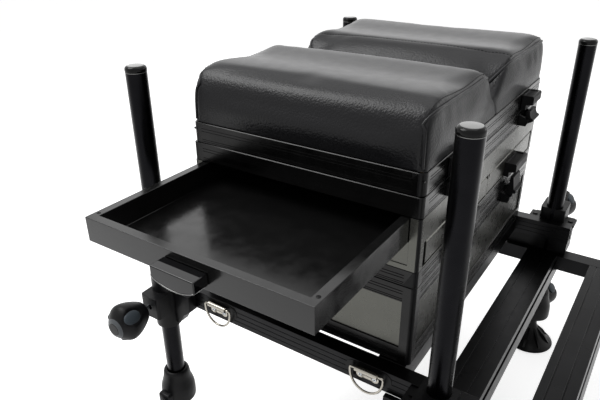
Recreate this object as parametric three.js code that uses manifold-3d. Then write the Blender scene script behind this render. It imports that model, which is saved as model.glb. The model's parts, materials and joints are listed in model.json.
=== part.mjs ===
// Fishing seat box: stacked trays and drawers under a split cushion, on a frame with four
// clamped telescopic legs and a footplate in front. Millimetres, +Z up, front is -Y.
import * as THREE from 'three';
import { mergeVertices } from 'three/addons/utils/BufferGeometryUtils.js';
import Module from 'manifold-3d';

const wasm = await Module();
wasm.setup();

// Driving sizes of the box and its stack of units
const boxLength = 514;
const boxDepth = 359;
const groundToBox = 309;
const baseHeight = 123;
const midTrayHeight = 24;
const cabinetHeight = 74;
const topTrayHeight = 28;
const seatRailHeight = 30;
const cushionHeight = 78;

// Fits: the gap between pieces that touch, and the play of pieces that slide or turn
const seatGap = 0.3;
const slideGap = 0.6;
const turnGap = 0.5;
const cutOverrun = 5;

// Walls, rails and panels of the units
const railWall = 4;
const panelWall = 2.4;
const panelRecess = 2;
const floorWall = 2;
const cornerCap = 17;
const cornerRadius = 6;
const railChamfer = 0.8;
const seatRailInset = 1;
const seatCornerRadius = 9;
const grooveWidth = 1;
const grooveDepth = 0.8;
const grooveLow = 2.8;
const grooveLowPitch = 2.7;
const grooveHigh = 8;
const grooveHighPitch = 4;
const baseRailHeight = 25;
const plinthHeight = 26;

// Cabinet and its three drawers
const cabinetPost = 14.4;
const cabinetRound = 4;
const cabinetRecess = 1.2;
const sideBayHeight = 34;
const sideDrawerLength = 488;
const sideDrawerRim = 12;
const sideDrawerOpen = 208;
const frontDrawerLength = 300;
const frontDrawerWall = 3;
const frontDrawerFace = 6;
const frontFaceMargin = 7;
const frontFaceBevel = 2.5;
const dividerWall = 3;
const fingerNotchRadius = 6;
const handleWidth = 64;
const handleReach = 22;
const handleHeight = 15;
const handleBow = 7;
const handleWall = 3;
const handleDrop = 11;

// Cushion and the board under it
const boardThickness = 9;
const cushionInset = 1;
const cushionDrawIn = 4;
const cushionCrown = 4;

// Rear hinges: under the seat, under the cabinet and under the middle tray
const hingeOffset = 5;
const knuckleRadius = 4;
const hingePinRadius = 2;
const knuckleLength = 60;
const hingeLeaf = 3;

// Over-centre latches on the front
const upperLatchInset = 97;
const lowerLatchInset = 137;
const upperKeeperWidth = 48;
const lowerKeeperWidth = 64;
const latchReach = 17;
const latchTip = 21;
const keeperReach = 19;
const keeperHeight = 24;
const keeperFace = 14;
const keeperWaist = 8;
const keeperEdge = 2;
const keeperRim = 5;
const keeperSink = 1.5;
const leverWidth = 38;
const leverWall = 6;
const latchPinRadius = 1.6;
const latchEar = 4;
const latchSeam = 2;

// Main frame under the box
const beamGap = 2;
const beamWidth = 22.7;
const beamHeight = 34;
const beamDrop = 1;
const beamPastLeg = 40.5;
const beamWall = 3;
const crossWidth = 40;
const crossInset = 4;

// Strap rings on the left beam
const strapInset = 47;
const strapWidth = 46;
const strapDrop = 26;
const strapWire = 1.8;
const strapPlateWidth = 34;
const strapPlateHeight = 22;
const strapPlateWall = 2.4;

// Legs, their clamps, knobs and feet
const tubeRadius = 15;
const tubeWall = 2;
const legOutX = 40;
const legOutY = 57;
const legTopLeft = 670;
const legTopRight = 654;
const legFoot = 100;
const capHeight = 9;
const capLip = 0.3;
const capRound = 3;
const clampReach = 37;
const clampBack = 21;
const clampHalf = 19;
const clampBottom = 266;
const clampTop = 305;
const clampCorner = 5;
const collarRadius = 21;
const collarTop = 333;
const collarBottom = 236;
const neckReach = 42.5;
const neckRibWidth = 8;
const neckRibPlace = 33;
const neckRibProud = 1.5;
const neckRibDrop = 18;
const frontClampHalf = 23;
const plateHalf = 42.5;
const plateFront = 16;
const plateThickness = 6;
const plateScrewRadius = 4.5;
const plateScrewPlace = 33.5;
const plateScrewSink = 2;
const saddleHalf = 37;
const saddleFront = 31;
const bracketWall = 8;
const bracketReach = 39.5;
const knobRadius = 30;
const knobLobe = 2.8;
const knobLength = 60;
const knobRound = 12;
const knobHub = 12;
const knobHubHeight = 2;
const studRadius = 4;
const studShow = 9;
const knobDropRear = 19;
const knobDropFront = 5;
const socketTop = 141;
const socketShoulder = 88;
const socketBottom = 70;
const socketNeckRadius = 20;
const socketBodyRadius = 30;
const ballHeight = 72;
const ballRadius = 17;
const ballNeckRadius = 10;
const bossReach = 38;
const bossRadius = 16;
const footRadius = 49;
const footRim = 4;
const footShoulder = 46;
const footRibWidth = 4;
const footRibCount = 8;

// Footplate in front of the legs
const plateTopDrop = 71;
const plankHeight = 30;
const plankLean = 6.5;
const plankLip = 7.5;
const rearPlankWidth = 62;
const plankWidth = 58;
const plankSpace = 55;
const plankCount = 3;
const sideRailWidth = 31;
const sideRailInset = 13;
const sideRailPastLeg = 86.5;
const plankGroove = 1.6;
const plankGrooveDepth = 1;
const plankGrooveShares = [0.66, 0.25];
const slotWidth = 6.5;
const slotDepth = 6;

// Numbers of segments
const turnSides = 20;
const ballSides = 12;
const smallSides = 12;
const knobSides = 18;
const bevelSteps = 2;
const curveSteps = 3;
const cushionStations = 12;

// Levels and half sizes worked out from the driving sizes
const halfLength = boxLength / 2;
const halfDepth = boxDepth / 2;
const baseTop = groundToBox + baseHeight;
const midTrayTop = baseTop + midTrayHeight;
const cabinetTop = midTrayTop + cabinetHeight;
const topTrayTop = cabinetTop + topTrayHeight;
const seatRailTop = topTrayTop + seatRailHeight;
const shelfTop = cabinetTop - sideBayHeight;
const legX = halfLength + legOutX;
const legY = halfDepth + legOutY;
const beamTop = groundToBox - beamDrop;
const beamBottom = beamTop - beamHeight;
const beamInner = halfLength + beamGap;
const beamOuter = beamInner + beamWidth;
const plankTop = groundToBox - plateTopDrop;
const plankBottom = plankTop - plankHeight;

// Solids

function toSolid(geometry) {
  const bare = new THREE.BufferGeometry();
  bare.setAttribute('position', geometry.getAttribute('position'));
  if (geometry.index) bare.setIndex(geometry.index);
  const merged = mergeVertices(bare);
  return new wasm.Manifold(new wasm.Mesh({
    numProp: 3,
    vertProperties: new Float32Array(merged.getAttribute('position').array),
    triVerts: new Uint32Array(merged.index.array),
  }));
}

function toGeometry(body) {
  const mesh = body.getMesh();
  const geometry = new THREE.BufferGeometry();
  geometry.setAttribute('position', new THREE.BufferAttribute(mesh.vertProperties, 3));
  geometry.setIndex(new THREE.BufferAttribute(mesh.triVerts, 1));
  geometry.computeVertexNormals();
  return geometry;
}

const joined = (...bodies) => bodies.flat().reduce((whole, body) => whole.add(body));
const cutBy = (body, ...tools) => tools.flat().reduce((whole, tool) => whole.subtract(tool), body);

// A block between two values on each axis, in either order
function slab([x0, x1], [y0, y1], [z0, z1]) {
  const geometry = new THREE.BoxGeometry(Math.abs(x1 - x0), Math.abs(y1 - y0), Math.abs(z1 - z0));
  geometry.translate((x0 + x1) / 2, (y0 + y1) / 2, (z0 + z1) / 2);
  return toSolid(geometry);
}

function shapeOf(points, holes = []) {
  const shape = new THREE.Shape(points.map(([a, b]) => new THREE.Vector2(a, b)));
  holes.forEach((hole) => shape.holes.push(new THREE.Path(hole.map(([a, b]) => new THREE.Vector2(a, b)))));
  return shape;
}

// Prisms: an outline in (y, z) drawn along X, in (x, z) along Y, or in (x, y) along Z
const basisX = new THREE.Matrix4().makeBasis(
  new THREE.Vector3(0, 1, 0), new THREE.Vector3(0, 0, 1), new THREE.Vector3(1, 0, 0));
const basisY = new THREE.Matrix4().makeBasis(
  new THREE.Vector3(1, 0, 0), new THREE.Vector3(0, 0, 1), new THREE.Vector3(0, -1, 0));

function prism(shape, depth, options = {}) {
  return new THREE.ExtrudeGeometry(shape, {
    depth, bevelEnabled: false, steps: 1, curveSegments: curveSteps, ...options,
  });
}

function prismX(shape, x0, x1) {
  const geometry = prism(shape, Math.abs(x1 - x0)).applyMatrix4(basisX);
  return toSolid(geometry.translate(Math.min(x0, x1), 0, 0));
}

function prismY(shape, y0, y1) {
  const geometry = prism(shape, Math.abs(y1 - y0)).applyMatrix4(basisY);
  return toSolid(geometry.translate(0, Math.max(y0, y1), 0));
}

function prismZ(shape, z0, z1) {
  return toSolid(prism(shape, Math.abs(z1 - z0)).translate(0, 0, Math.min(z0, z1)));
}

// A round bar along one axis, from one end to the other, about a point of the other two axes
function bar(axis, radius, [from, to], [a, b], sides = smallSides) {
  const geometry = new THREE.CylinderGeometry(radius, radius, Math.abs(to - from), sides);
  const middle = (from + to) / 2;
  if (axis === 'x') return toSolid(geometry.rotateZ(-Math.PI / 2).translate(middle, a, b));
  if (axis === 'y') return toSolid(geometry.translate(a, middle, b));
  return toSolid(geometry.rotateX(Math.PI / 2).translate(a, b, middle));
}

// A turned piece: [radius, height] pairs from the foot to the top, both ends on the axis
function turned(profile, [x, y], sides = turnSides) {
  const points = profile.map(([radius, height]) => new THREE.Vector2(radius, height));
  const geometry = new THREE.LatheGeometry(points, sides).rotateX(Math.PI / 2);
  return toSolid(geometry.translate(x, y, 0));
}

function roundedRectangle(x0, x1, y0, y1, radius) {
  const shape = new THREE.Shape();
  shape.moveTo(x0 + radius, y0);
  shape.lineTo(x1 - radius, y0);
  shape.absarc(x1 - radius, y0 + radius, radius, -Math.PI / 2, 0, false);
  shape.lineTo(x1, y1 - radius);
  shape.absarc(x1 - radius, y1 - radius, radius, 0, Math.PI / 2, false);
  shape.lineTo(x0 + radius, y1);
  shape.absarc(x0 + radius, y1 - radius, radius, Math.PI / 2, Math.PI, false);
  shape.lineTo(x0, y0 + radius);
  shape.absarc(x0 + radius, y0 + radius, radius, Math.PI, 3 * Math.PI / 2, false);
  return shape;
}

// Rails: a grooved extrusion section, its outer face at out = 0 and its wall inward

function grooved(height, wall, centres) {
  const points = [[-wall, 0], [-railChamfer, 0], [0, railChamfer]];
  centres.forEach((centre) => {
    points.push([0, centre - grooveWidth / 2], [-grooveDepth, centre - grooveWidth / 2]);
    points.push([-grooveDepth, centre + grooveWidth / 2], [0, centre + grooveWidth / 2]);
  });
  points.push([0, height - railChamfer], [-railChamfer, height], [-wall, height]);
  return points;
}

function pairedGrooves(height) {
  const high = height - grooveHigh;
  return [grooveLow, grooveLow + grooveLowPitch, high - grooveHighPitch, high];
}

// A ring of four grooved rails with a moulded block at each corner
function railFrame(bottom, height, inset = 0, radius = cornerRadius) {
  const section = grooved(height, railWall, pairedGrooves(height));
  const top = bottom + height;
  const inX = halfLength - cornerCap;
  const inY = halfDepth - cornerCap;
  const pieces = [];
  for (const side of [-1, 1]) {
    const alongX = section.map(([out, up]) => [side * (halfDepth - inset + out), bottom + up]);
    const alongY = section.map(([out, up]) => [side * (halfLength - inset + out), bottom + up]);
    pieces.push(prismX(shapeOf(alongX), -inX, inX), prismY(shapeOf(alongY), -inY, inY));
  }
  return joined(pieces, cornerBlocks(bottom, top, cornerCap, inset, radius));
}

// Four corner blocks, rounded outside, bevelled above and below, and hollowed to the rail's wall
function cornerBlocks(bottom, top, size, inset = 0, radius = cornerRadius) {
  const edgeX = halfLength - inset;
  const edgeY = halfDepth - inset;
  const outer = roundedRectangle(-edgeX + railChamfer, edgeX - railChamfer,
    -edgeY + railChamfer, edgeY - railChamfer, radius - railChamfer);
  const whole = prism(outer, top - bottom - 2 * railChamfer, {
    bevelEnabled: true, bevelThickness: railChamfer, bevelSize: railChamfer, bevelSegments: 1,
  });
  const height = [bottom - cutOverrun, top + cutOverrun];
  const inner = slab([-edgeX + railWall, edgeX - railWall], [-edgeY + railWall, edgeY - railWall], height);
  const acrossX = slab([-halfLength + size, halfLength - size], [-boxDepth, boxDepth], height);
  const acrossY = slab([-boxLength, boxLength], [-halfDepth + size, halfDepth - size], height);
  return cutBy(toSolid(whole.translate(0, 0, bottom + railChamfer)), inner, acrossX, acrossY);
}

const innerX = [-halfLength + railWall / 2, halfLength - railWall / 2];
const innerY = [-halfDepth + railWall / 2, halfDepth - railWall / 2];

// Hinge knuckles along the rear edge, webbed to the piece above or below the axis
function knuckles(axisHeight, places, toward) {
  const y = halfDepth + hingeOffset;
  return places.map((x) => {
    const span = [x - knuckleLength / 2, x + knuckleLength / 2];
    const leafEdge = axisHeight + toward * hingeOffset;
    const leafFrom = axisHeight + toward * turnGap;
    return joined(bar('x', knuckleRadius, span, [y, axisHeight]),
      slab(span, [halfDepth - railWall / 2, y], [leafFrom, leafEdge]));
  });
}

const knuckleStep = knuckleLength + turnGap;
const upperKnuckles = [-2 * knuckleStep, 0, 2 * knuckleStep];
const lowerKnuckles = [-knuckleStep, knuckleStep];
const pinReach = 2 * knuckleStep + knuckleLength / 2;

// The piece above the axis has three bored knuckles, the piece below two knuckles and the pin
function hingedBelow(body, axisHeight) {
  const centre = [halfDepth + hingeOffset, axisHeight];
  const bore = bar('x', hingePinRadius + turnGap, [-pinReach - cutOverrun, pinReach + cutOverrun], centre);
  return joined(body, knuckles(axisHeight, upperKnuckles, 1)).subtract(bore);
}

function hingedAbove(body, axisHeight) {
  const pin = bar('x', hingePinRadius, [-pinReach, pinReach], [halfDepth + hingeOffset, axisHeight]);
  return joined(body, knuckles(axisHeight, lowerKnuckles, -1), pin);
}

const seatHinge = topTrayTop + seatGap / 2;
const cabinetHinge = midTrayTop + seatGap / 2;
const baseHinge = baseTop + seatGap / 2;

// Latches: a keeper on the upper piece, a lever and its ears on the lower one

function latchKeeper(x, foot, width, wall) {
  const top = foot + keeperHeight;
  const front = wall - keeperReach;
  const outline = [
    [wall, foot], [wall - keeperWaist, foot], [wall - keeperWaist, top - keeperFace - keeperEdge],
    [front, top - keeperFace], [front, top - keeperEdge], [front + keeperEdge, top], [wall, top],
  ];
  const half = width / 2;
  const body = prismX(shapeOf(outline), x - half, x + half);
  const sink = prismZ(roundedRectangle(x - half + keeperRim, x + half - keeperRim, front + keeperRim,
    wall - keeperRim / 2, keeperEdge), top - keeperSink, top + cutOverrun);
  return body.subtract(sink);
}

function leverPivot(foot) {
  return [-halfDepth - latchReach / 2, foot + leverWall];
}

function latchLever(x, foot, height) {
  const wall = -halfDepth - seatGap;
  const [pivotY, pivotZ] = leverPivot(foot);
  const grip = foot + height / 2;
  const outline = [
    [pivotY + leverWall / 2, foot + leverWall / 2], [pivotY - leverWall / 2, foot + leverWall / 2],
    [wall - latchReach, grip - leverWall], [wall - latchTip, grip - leverWall / 2],
    [wall - latchTip, grip], [wall - latchReach, grip + leverWall / 3],
    [wall - latchReach + leverWall / 3, foot + height - leverWall],
    [wall - latchReach + leverWall / 2, foot + height],
    [wall - latchReach / 2, foot + height], [wall - latchReach / 2, grip],
    [wall - leverWall / 2, grip - leverWall / 2], [wall - leverWall / 2, foot + leverWall],
  ];
  const span = [x - leverWidth / 2, x + leverWidth / 2];
  const body = prismX(shapeOf(outline), ...span);
  const reach = [span[0] - cutOverrun, span[1] + cutOverrun];
  return body.subtract(bar('x', latchPinRadius + turnGap, reach, [pivotY, pivotZ]));
}

// Two ears, a back plate and the pivot pin, fused to the rail that carries the lever
function latchEars(x, foot, height) {
  const [pivotY, pivotZ] = leverPivot(foot);
  const back = -halfDepth + railWall / 2;
  const earOutline = [
    [back, foot], [pivotY - leverWall / 2, foot], [-halfDepth - latchReach + leverWall / 2, pivotZ],
    [-halfDepth - latchReach + leverWall / 2, foot + height / 2], [back, foot + height / 2 + leverWall],
  ];
  const inner = leverWidth / 2 + turnGap;
  const outer = inner + latchEar;
  const ears = [-1, 1].map((side) => prismX(shapeOf(earOutline), x + side * inner, x + side * outer));
  const pin = bar('x', latchPinRadius, [x - outer, x + outer], [pivotY, pivotZ]);
  return joined(ears, pin);
}

const upperLatches = [-halfLength + upperLatchInset, halfLength - upperLatchInset];
const lowerLatches = [-halfLength + lowerLatchInset, halfLength - lowerLatchInset];
const upperLatchHeight = keeperHeight;
const upperLeverFoot = topTrayTop - upperLatchHeight - latchSeam / 2;
const lowerLatchHeight = keeperHeight + midTrayHeight - latchSeam;
const lowerLeverFoot = midTrayTop - lowerLatchHeight - latchSeam;

// Units of the stack

function baseBox() {
  const posts = cornerBlocks(groundToBox, baseTop, cornerCap);
  const plinth = railFrame(groundToBox, plinthHeight);
  const rail = railFrame(baseTop - baseRailHeight, baseRailHeight);
  const outerX = halfLength - panelRecess;
  const outerY = halfDepth - panelRecess;
  const shell = slab([-outerX, outerX], [-outerY, outerY], [groundToBox, baseTop]);
  const hollow = slab([-outerX + panelWall, outerX - panelWall],
    [-outerY + panelWall, outerY - panelWall], [groundToBox + floorWall, baseTop + cutOverrun]);
  const ears = lowerLatches.map((x) => latchEars(x, lowerLeverFoot, lowerLatchHeight / 2));
  return hingedAbove(joined(shell.subtract(hollow), posts, plinth, rail, ears), baseHinge);
}

function tray(bottom, top) {
  const floor = slab(innerX, innerY, [bottom, bottom + floorWall]);
  return joined(railFrame(bottom, top - bottom), floor);
}

function midTray() {
  return hingedAbove(hingedBelow(tray(baseTop + seatGap, midTrayTop), baseHinge), cabinetHinge);
}

function topTray() {
  const body = hingedAbove(tray(cabinetTop + seatGap, topTrayTop), seatHinge);
  const ears = upperLatches.map((x) => latchEars(x, upperLeverFoot, upperLatchHeight));
  return joined(body, ears);
}

// Cabinet: four posts, a floor, a shelf between the bays, and the walls that stay closed
function drawerCabinet() {
  const bottom = midTrayTop + seatGap;
  const outer = roundedRectangle(-halfLength, halfLength, -halfDepth, halfDepth, cabinetRound);
  const whole = prismZ(outer, bottom, cabinetTop);
  const postX = halfLength - cabinetPost;
  const postY = halfDepth - cabinetPost;
  const lower = [bottom + floorWall, shelfTop - floorWall];
  const upper = [shelfTop, cabinetTop + cutOverrun];
  const faces = [bottom + hingeOffset + floorWall, cabinetTop + cutOverrun];
  const rearY = halfDepth - cabinetRecess - panelWall;
  const rightX = halfLength - cabinetRecess - panelWall;
  const leftX = -halfLength + cabinetRecess + panelWall;
  const frontY = -halfDepth + panelWall;
  const halfDivider = dividerWall / 2;
  const cuts = [
    slab([-halfLength - cutOverrun, rightX], [-postY, postY], upper),
    slab([-postX, postX], [frontY, rearY], upper),
    slab([-postX, -halfDivider], [-halfDepth - cutOverrun, rearY], lower),
    slab([halfDivider, postX], [-halfDepth - cutOverrun, rearY], lower),
    slab([leftX, -postX + cutOverrun], [-postY, postY], lower),
    slab([postX - cutOverrun, rightX], [-postY, postY], lower),
    slab([-halfLength - cutOverrun, -halfLength + cabinetRecess], [-postY, postY], faces),
    slab([halfLength - cabinetRecess, halfLength + cutOverrun], [-postY, postY], faces),
    slab([-postX, postX], [halfDepth - cabinetRecess, halfDepth + cutOverrun], faces),
  ];
  return hingedBelow(cutBy(whole, cuts), cabinetHinge);
}

// Side drawer, drawn out to the left by sideDrawerOpen
function sideDrawer() {
  const left = -halfLength - sideDrawerOpen;
  const x = [left, left + sideDrawerLength];
  const half = halfDepth - cabinetPost - slideGap;
  const bottom = shelfTop + seatGap;
  const top = cabinetTop - slideGap;
  const body = slab(x, [-half, half], [bottom, top]);
  const hollow = slab([x[0] + sideDrawerRim, x[1] - sideDrawerRim],
    [-half + sideDrawerRim, half - sideDrawerRim], [bottom + floorWall, top + cutOverrun]);
  return body.subtract(hollow);
}

// Handle: a flat top and a bowed apron, hollow below for the fingertips
function sideDrawerHandle() {
  const face = -halfLength - sideDrawerOpen - seatGap;
  const front = face - handleReach;
  const top = cabinetTop - handleDrop;
  const foot = top - handleHeight;
  const half = handleWidth / 2;
  const apron = new THREE.Shape();
  apron.moveTo(-half, foot);
  apron.quadraticCurveTo(0, foot - 2 * handleBow, half, foot);
  apron.lineTo(half, top);
  apron.lineTo(-half, top);
  const hollow = slab([front + handleWall, face - handleWall], [-half + handleWall, half - handleWall],
    [foot - 2 * handleBow, top - handleWall]);
  return prismX(apron, front, face).subtract(hollow);
}

// Front drawers, one in each half of the lower bay, with the bevelled face between the posts
function frontDrawer(side) {
  const bottom = midTrayTop + seatGap + floorWall + seatGap;
  const top = shelfTop - floorWall - slideGap;
  const inner = dividerWall / 2 + slideGap;
  const outer = halfLength - cabinetPost - slideGap;
  const front = -halfDepth;
  const rear = front + frontDrawerLength;
  const body = slab([side * inner, side * outer], [front + frontDrawerFace, rear], [bottom, top]);
  const hollow = slab([side * (inner + frontDrawerWall), side * (outer - frontDrawerWall)],
    [front + 2 * frontDrawerFace, rear - frontDrawerWall], [bottom + floorWall, top + cutOverrun]);
  const near = side * inner;
  const far = side * (outer - frontFaceMargin);
  const [x0, x1] = [Math.min(near, far), Math.max(near, far)];
  const face = prismX(shapeOf([
    [front + frontDrawerFace + seatGap, bottom], [front + frontFaceBevel, bottom],
    [front, bottom + frontFaceBevel], [front, top - frontFaceBevel],
    [front + frontFaceBevel, top], [front + frontDrawerFace + seatGap, top],
  ]), x0, x1);
  const notch = bar('y', fingerNotchRadius, [front - cutOverrun, front + 2 * frontDrawerFace],
    [side * inner, top], smallSides);
  return cutBy(joined(body.subtract(hollow), face), notch);
}

function seatFrame() {
  const bottom = topTrayTop + seatGap;
  const body = railFrame(bottom, seatRailTop - bottom, seatRailInset, seatCornerRadius);
  const ledgeTop = seatRailTop - boardThickness - seatGap;
  const open = slab([-halfLength + cornerCap, halfLength - cornerCap],
    [-halfDepth + cornerCap, halfDepth - cornerCap], [bottom, seatRailTop]);
  const ledge = slab(innerX, innerY, [ledgeTop - floorWall, ledgeTop]).subtract(open);
  return hingedBelow(joined(body, ledge), seatHinge);
}

function seatBoard() {
  const inset = seatRailInset + railWall + seatGap;
  return slab([-halfLength + inset, halfLength - inset], [-halfDepth + inset, halfDepth - inset],
    [seatRailTop - boardThickness, seatRailTop]);
}

// Cushion section along X as shares of the half length and of the height, centre to edge
const cushionShares = [
  [0, 0.39], [0.05, 0.44], [0.1, 0.6], [0.15, 0.78], [0.2, 0.93], [0.26, 1], [0.34, 0.985], [0.5, 0.95],
  [0.62, 0.965], [0.74, 0.985], [0.84, 0.95], [0.92, 0.86], [0.97, 0.73], [0.995, 0.58],
];

// How late the cushion's ends draw in, the higher the later
const endShare = 8;

// Cushion: the section drawn from front to rear, drawn in and lowered a little at both ends
function seatCushion() {
  const floor = seatRailTop + seatGap;
  const half = halfLength - cushionInset;
  const deep = halfDepth - cushionInset;
  const right = cushionShares.map(([along, up]) => [along * half, up * cushionHeight]);
  const rightSide = [...right, [half, cushionHeight / 3], [half - cushionDrawIn / 2, 0]];
  const leftSide = rightSide.slice(1).reverse().map(([x, z]) => [-x, z]);
  const outline = shapeOf([...leftSide, ...rightSide]);
  const blank = prism(outline, 2 * deep, { steps: cushionStations }).applyMatrix4(basisY);
  return toSolid(blank.translate(0, deep, 0)).warp((point) => {
    const [x, y, z] = point;
    const bulge = Math.sqrt(Math.max(1 - Math.abs(y / deep) ** endShare, 0));
    point[0] = x - Math.sign(x) * cushionDrawIn * (1 - bulge);
    point[2] = floor + z - cushionCrown * (1 - bulge) * z / cushionHeight;
  });
}

// Main frame

function hollowSection(x0, x1, z0, z1, wall) {
  const outer = [[x0, z0], [x1, z0], [x1, z1], [x0, z1]];
  const inner = [[x0 + wall, z0 + wall], [x0 + wall, z1 - wall], [x1 - wall, z1 - wall], [x1 - wall, z0 + wall]];
  return shapeOf(outer, [inner]);
}

// Side beam: hollow, with three grooves along each upright face, passing inboard of the front leg
function sideBeam(side) {
  const [x0, x1] = [side * beamInner, side * beamOuter].sort((a, b) => a - b);
  const front = -legY - beamPastLeg;
  const rear = legY - neckReach - seatGap;
  const along = [front - cutOverrun, rear + cutOverrun];
  const grooves = [-1, 0, 1].flatMap((place) => {
    const z = (beamTop + beamBottom) / 2 + place * beamHeight / 4;
    const height = [z - grooveWidth / 2, z + grooveWidth / 2];
    return [slab([x0 - cutOverrun, x0 + grooveDepth], along, height),
      slab([x1 - grooveDepth, x1 + cutOverrun], along, height)];
  });
  return cutBy(prismY(hollowSection(x0, x1, beamBottom, beamTop, beamWall), front, rear), grooves);
}

function crossBeam(side) {
  const near = halfDepth - crossInset;
  const outer = [
    [side * near, beamBottom], [side * (near - crossWidth), beamBottom],
    [side * (near - crossWidth), groundToBox - seatGap], [side * near, groundToBox - seatGap],
  ];
  const w = beamWall;
  const inner = [
    [side * (near - w), beamBottom + w], [side * (near - w), groundToBox - seatGap - w],
    [side * (near - crossWidth + w), groundToBox - seatGap - w], [side * (near - crossWidth + w), beamBottom + w],
  ];
  const reach = beamInner - seatGap;
  return prismX(shapeOf(outer, [inner]), -reach, reach);
}

// Strap ring: a bar in two lugs on the beam's outer face, and the D that hangs from it
const strapBar = beamTop - beamHeight / 4;
const strapBore = strapWire * Math.SQRT2 + turnGap;
const strapAxis = -beamOuter - seatGap - strapPlateWall - strapBore;
const strapPlaces = [halfDepth - strapInset, -halfDepth + strapInset];

function strapPlate(y) {
  const face = -beamOuter - seatGap;
  const half = strapPlateWidth / 2;
  const top = strapBar + 2 * strapWire + strapPlateWall;
  const plate = slab([face - strapPlateWall, face], [y - half, y + half], [top - strapPlateHeight, top]);
  const loop = bar('y', strapBore + strapPlateWall, [y - half, y + half], [strapAxis, strapBar]);
  const bore = bar('y', strapBore, [y - half - cutOverrun, y + half + cutOverrun], [strapAxis, strapBar]);
  return cutBy(joined(plate, loop), bore, slab([face, face + cutOverrun * 2], [y - strapWidth, y + strapWidth],
    [strapBar - strapPlateHeight, strapBar + strapPlateHeight]));
}

function strapRing(y) {
  const outlineAt = (inset) => {
    const half = strapWidth / 2 - inset;
    const top = strapBar + strapWire - inset;
    const low = strapBar - strapDrop + inset;
    const middle = (top + low) / 2;
    const shape = new THREE.Shape();
    shape.moveTo(y - half, top);
    shape.lineTo(y + half, top);
    shape.lineTo(y + half, middle);
    shape.quadraticCurveTo(y + half, low, y, low);
    shape.quadraticCurveTo(y - half, low, y - half, middle);
    return shape;
  };
  const bevel = strapWire / 2;
  const plate = prism(outlineAt(bevel), 2 * strapWire - 2 * bevel, {
    bevelEnabled: true, bevelThickness: bevel, bevelSize: bevel, bevelSegments: 1,
  });
  const window = prismX(outlineAt(2 * strapWire), strapAxis - strapWidth, strapAxis + strapWidth);
  return toSolid(plate.applyMatrix4(basisX).translate(strapAxis - bevel, 0, 0)).subtract(window);
}

// Legs: each is drawn about its own axis, u outboard along X and v outboard along Y

function legTube(top) {
  const hole = tubeRadius - tubeWall;
  const outer = bar('z', tubeRadius, [legFoot + seatGap, top - capHeight], [0, 0], turnSides);
  return outer.subtract(bar('z', hole, [legFoot - cutOverrun, top + cutOverrun], [0, 0], turnSides));
}

function legCap(top) {
  const foot = top - capHeight + seatGap;
  const plug = tubeRadius - tubeWall - seatGap;
  const rim = tubeRadius + capLip;
  return turned([
    [0, foot - capHeight], [plug, foot - capHeight], [plug, foot], [rim, foot],
    [rim, top - capRound], [rim - capRound, top], [0, top],
  ], [0, 0]);
}

function clampBlock(sx, back, half, bottom, top) {
  const [u0, u1] = [-back, clampReach].map((u) => sx * u).sort((a, b) => a - b);
  return prismZ(roundedRectangle(u0, u1, -half, half, clampCorner), bottom, top);
}

const tubeBore = () => bar('z', tubeRadius + turnGap, [0, legTopLeft], [0, 0], turnSides);
const studBore = (sx, z) => bar('x', studRadius + turnGap, [0, sx * (clampReach + cutOverrun)], [0, z]);
const legToBeam = legX - beamOuter - seatGap;

// Rear clamp: round collars above and below a square block, and a ribbed neck to the end of the beam
function rearClamp(sx, sy) {
  const collar = bar('z', collarRadius, [collarBottom, collarTop], [0, 0], turnSides);
  const neck = slab([-sx * (legX - beamInner), -sx * legToBeam], [-sy * neckReach, 0], [beamBottom, beamTop]);
  const rib = slab([-sx * (legX - beamInner), -sx * (legToBeam - neckRibProud)],
    [-sy * neckRibPlace, -sy * (neckRibPlace - neckRibWidth)], [beamBottom - neckRibDrop, beamTop - neckRibProud]);
  const block = clampBlock(sx, clampBack, clampHalf, clampBottom, clampTop);
  return cutBy(joined(block, collar, neck, rib), tubeBore(), studBore(sx, clampTop - knobDropRear));
}

// Front clamp, outboard of the beam: a square collar, a plate with two screws, the saddle over the
// footplate and a bracket behind it
function frontClamp(sx, sy) {
  const topOfCollar = collarTop - capRound;
  const inboard = -sx * legToBeam;
  const block = clampBlock(sx, legToBeam, frontClampHalf, plankTop + seatGap, topOfCollar);
  const plate = slab([inboard, sx * plateFront], [-plateHalf, plateHalf], [clampTop - plateThickness, clampTop]);
  const screwHeight = [clampTop - plateScrewSink, clampTop + plateScrewSink];
  const screws = [-1, 1].map((side) => bar('z', plateScrewRadius, screwHeight, [0, side * plateScrewPlace]));
  const saddle = slab([inboard, sx * saddleFront], [-saddleHalf, saddleHalf],
    [plankTop + seatGap, clampTop - plateThickness]);
  const bracket = slab([inboard, inboard + sx * bracketWall], [0, -sy * (saddleHalf + bracketReach)],
    [plankTop + seatGap, beamBottom]);
  return cutBy(joined(block, plate, screws, saddle, bracket), tubeBore(), studBore(sx, clampTop - knobDropFront));
}

// Clamp knob along X: a bulbous three-lobed grip, an end disc and the threaded stud
function knob(sx, start, z, tip) {
  const outline = Array.from({ length: knobSides }, (_, i) => {
    const angle = 2 * Math.PI * i / knobSides;
    const radius = knobRadius - knobRound + knobLobe * Math.cos(3 * angle);
    return [radius * Math.cos(angle), radius * Math.sin(angle)];
  });
  const grip = prism(shapeOf(outline), knobLength - 2 * knobRound, {
    bevelEnabled: true, bevelThickness: knobRound, bevelSize: knobRound, bevelSegments: bevelSteps,
  });
  grip.translate(0, 0, knobRound).applyMatrix4(basisX);
  const gripBody = toSolid(grip);
  const hub = bar('x', knobHub, [0, knobLength + knobHubHeight], [0, 0], turnSides);
  const stud = bar('x', studRadius, [tip - start, knobRound], [0, 0]);
  const body = joined(gripBody, hub, stud).translate([start, 0, 0]);
  return (sx < 0 ? body.mirror([1, 0, 0]) : body).translate([0, 0, z]);
}

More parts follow.
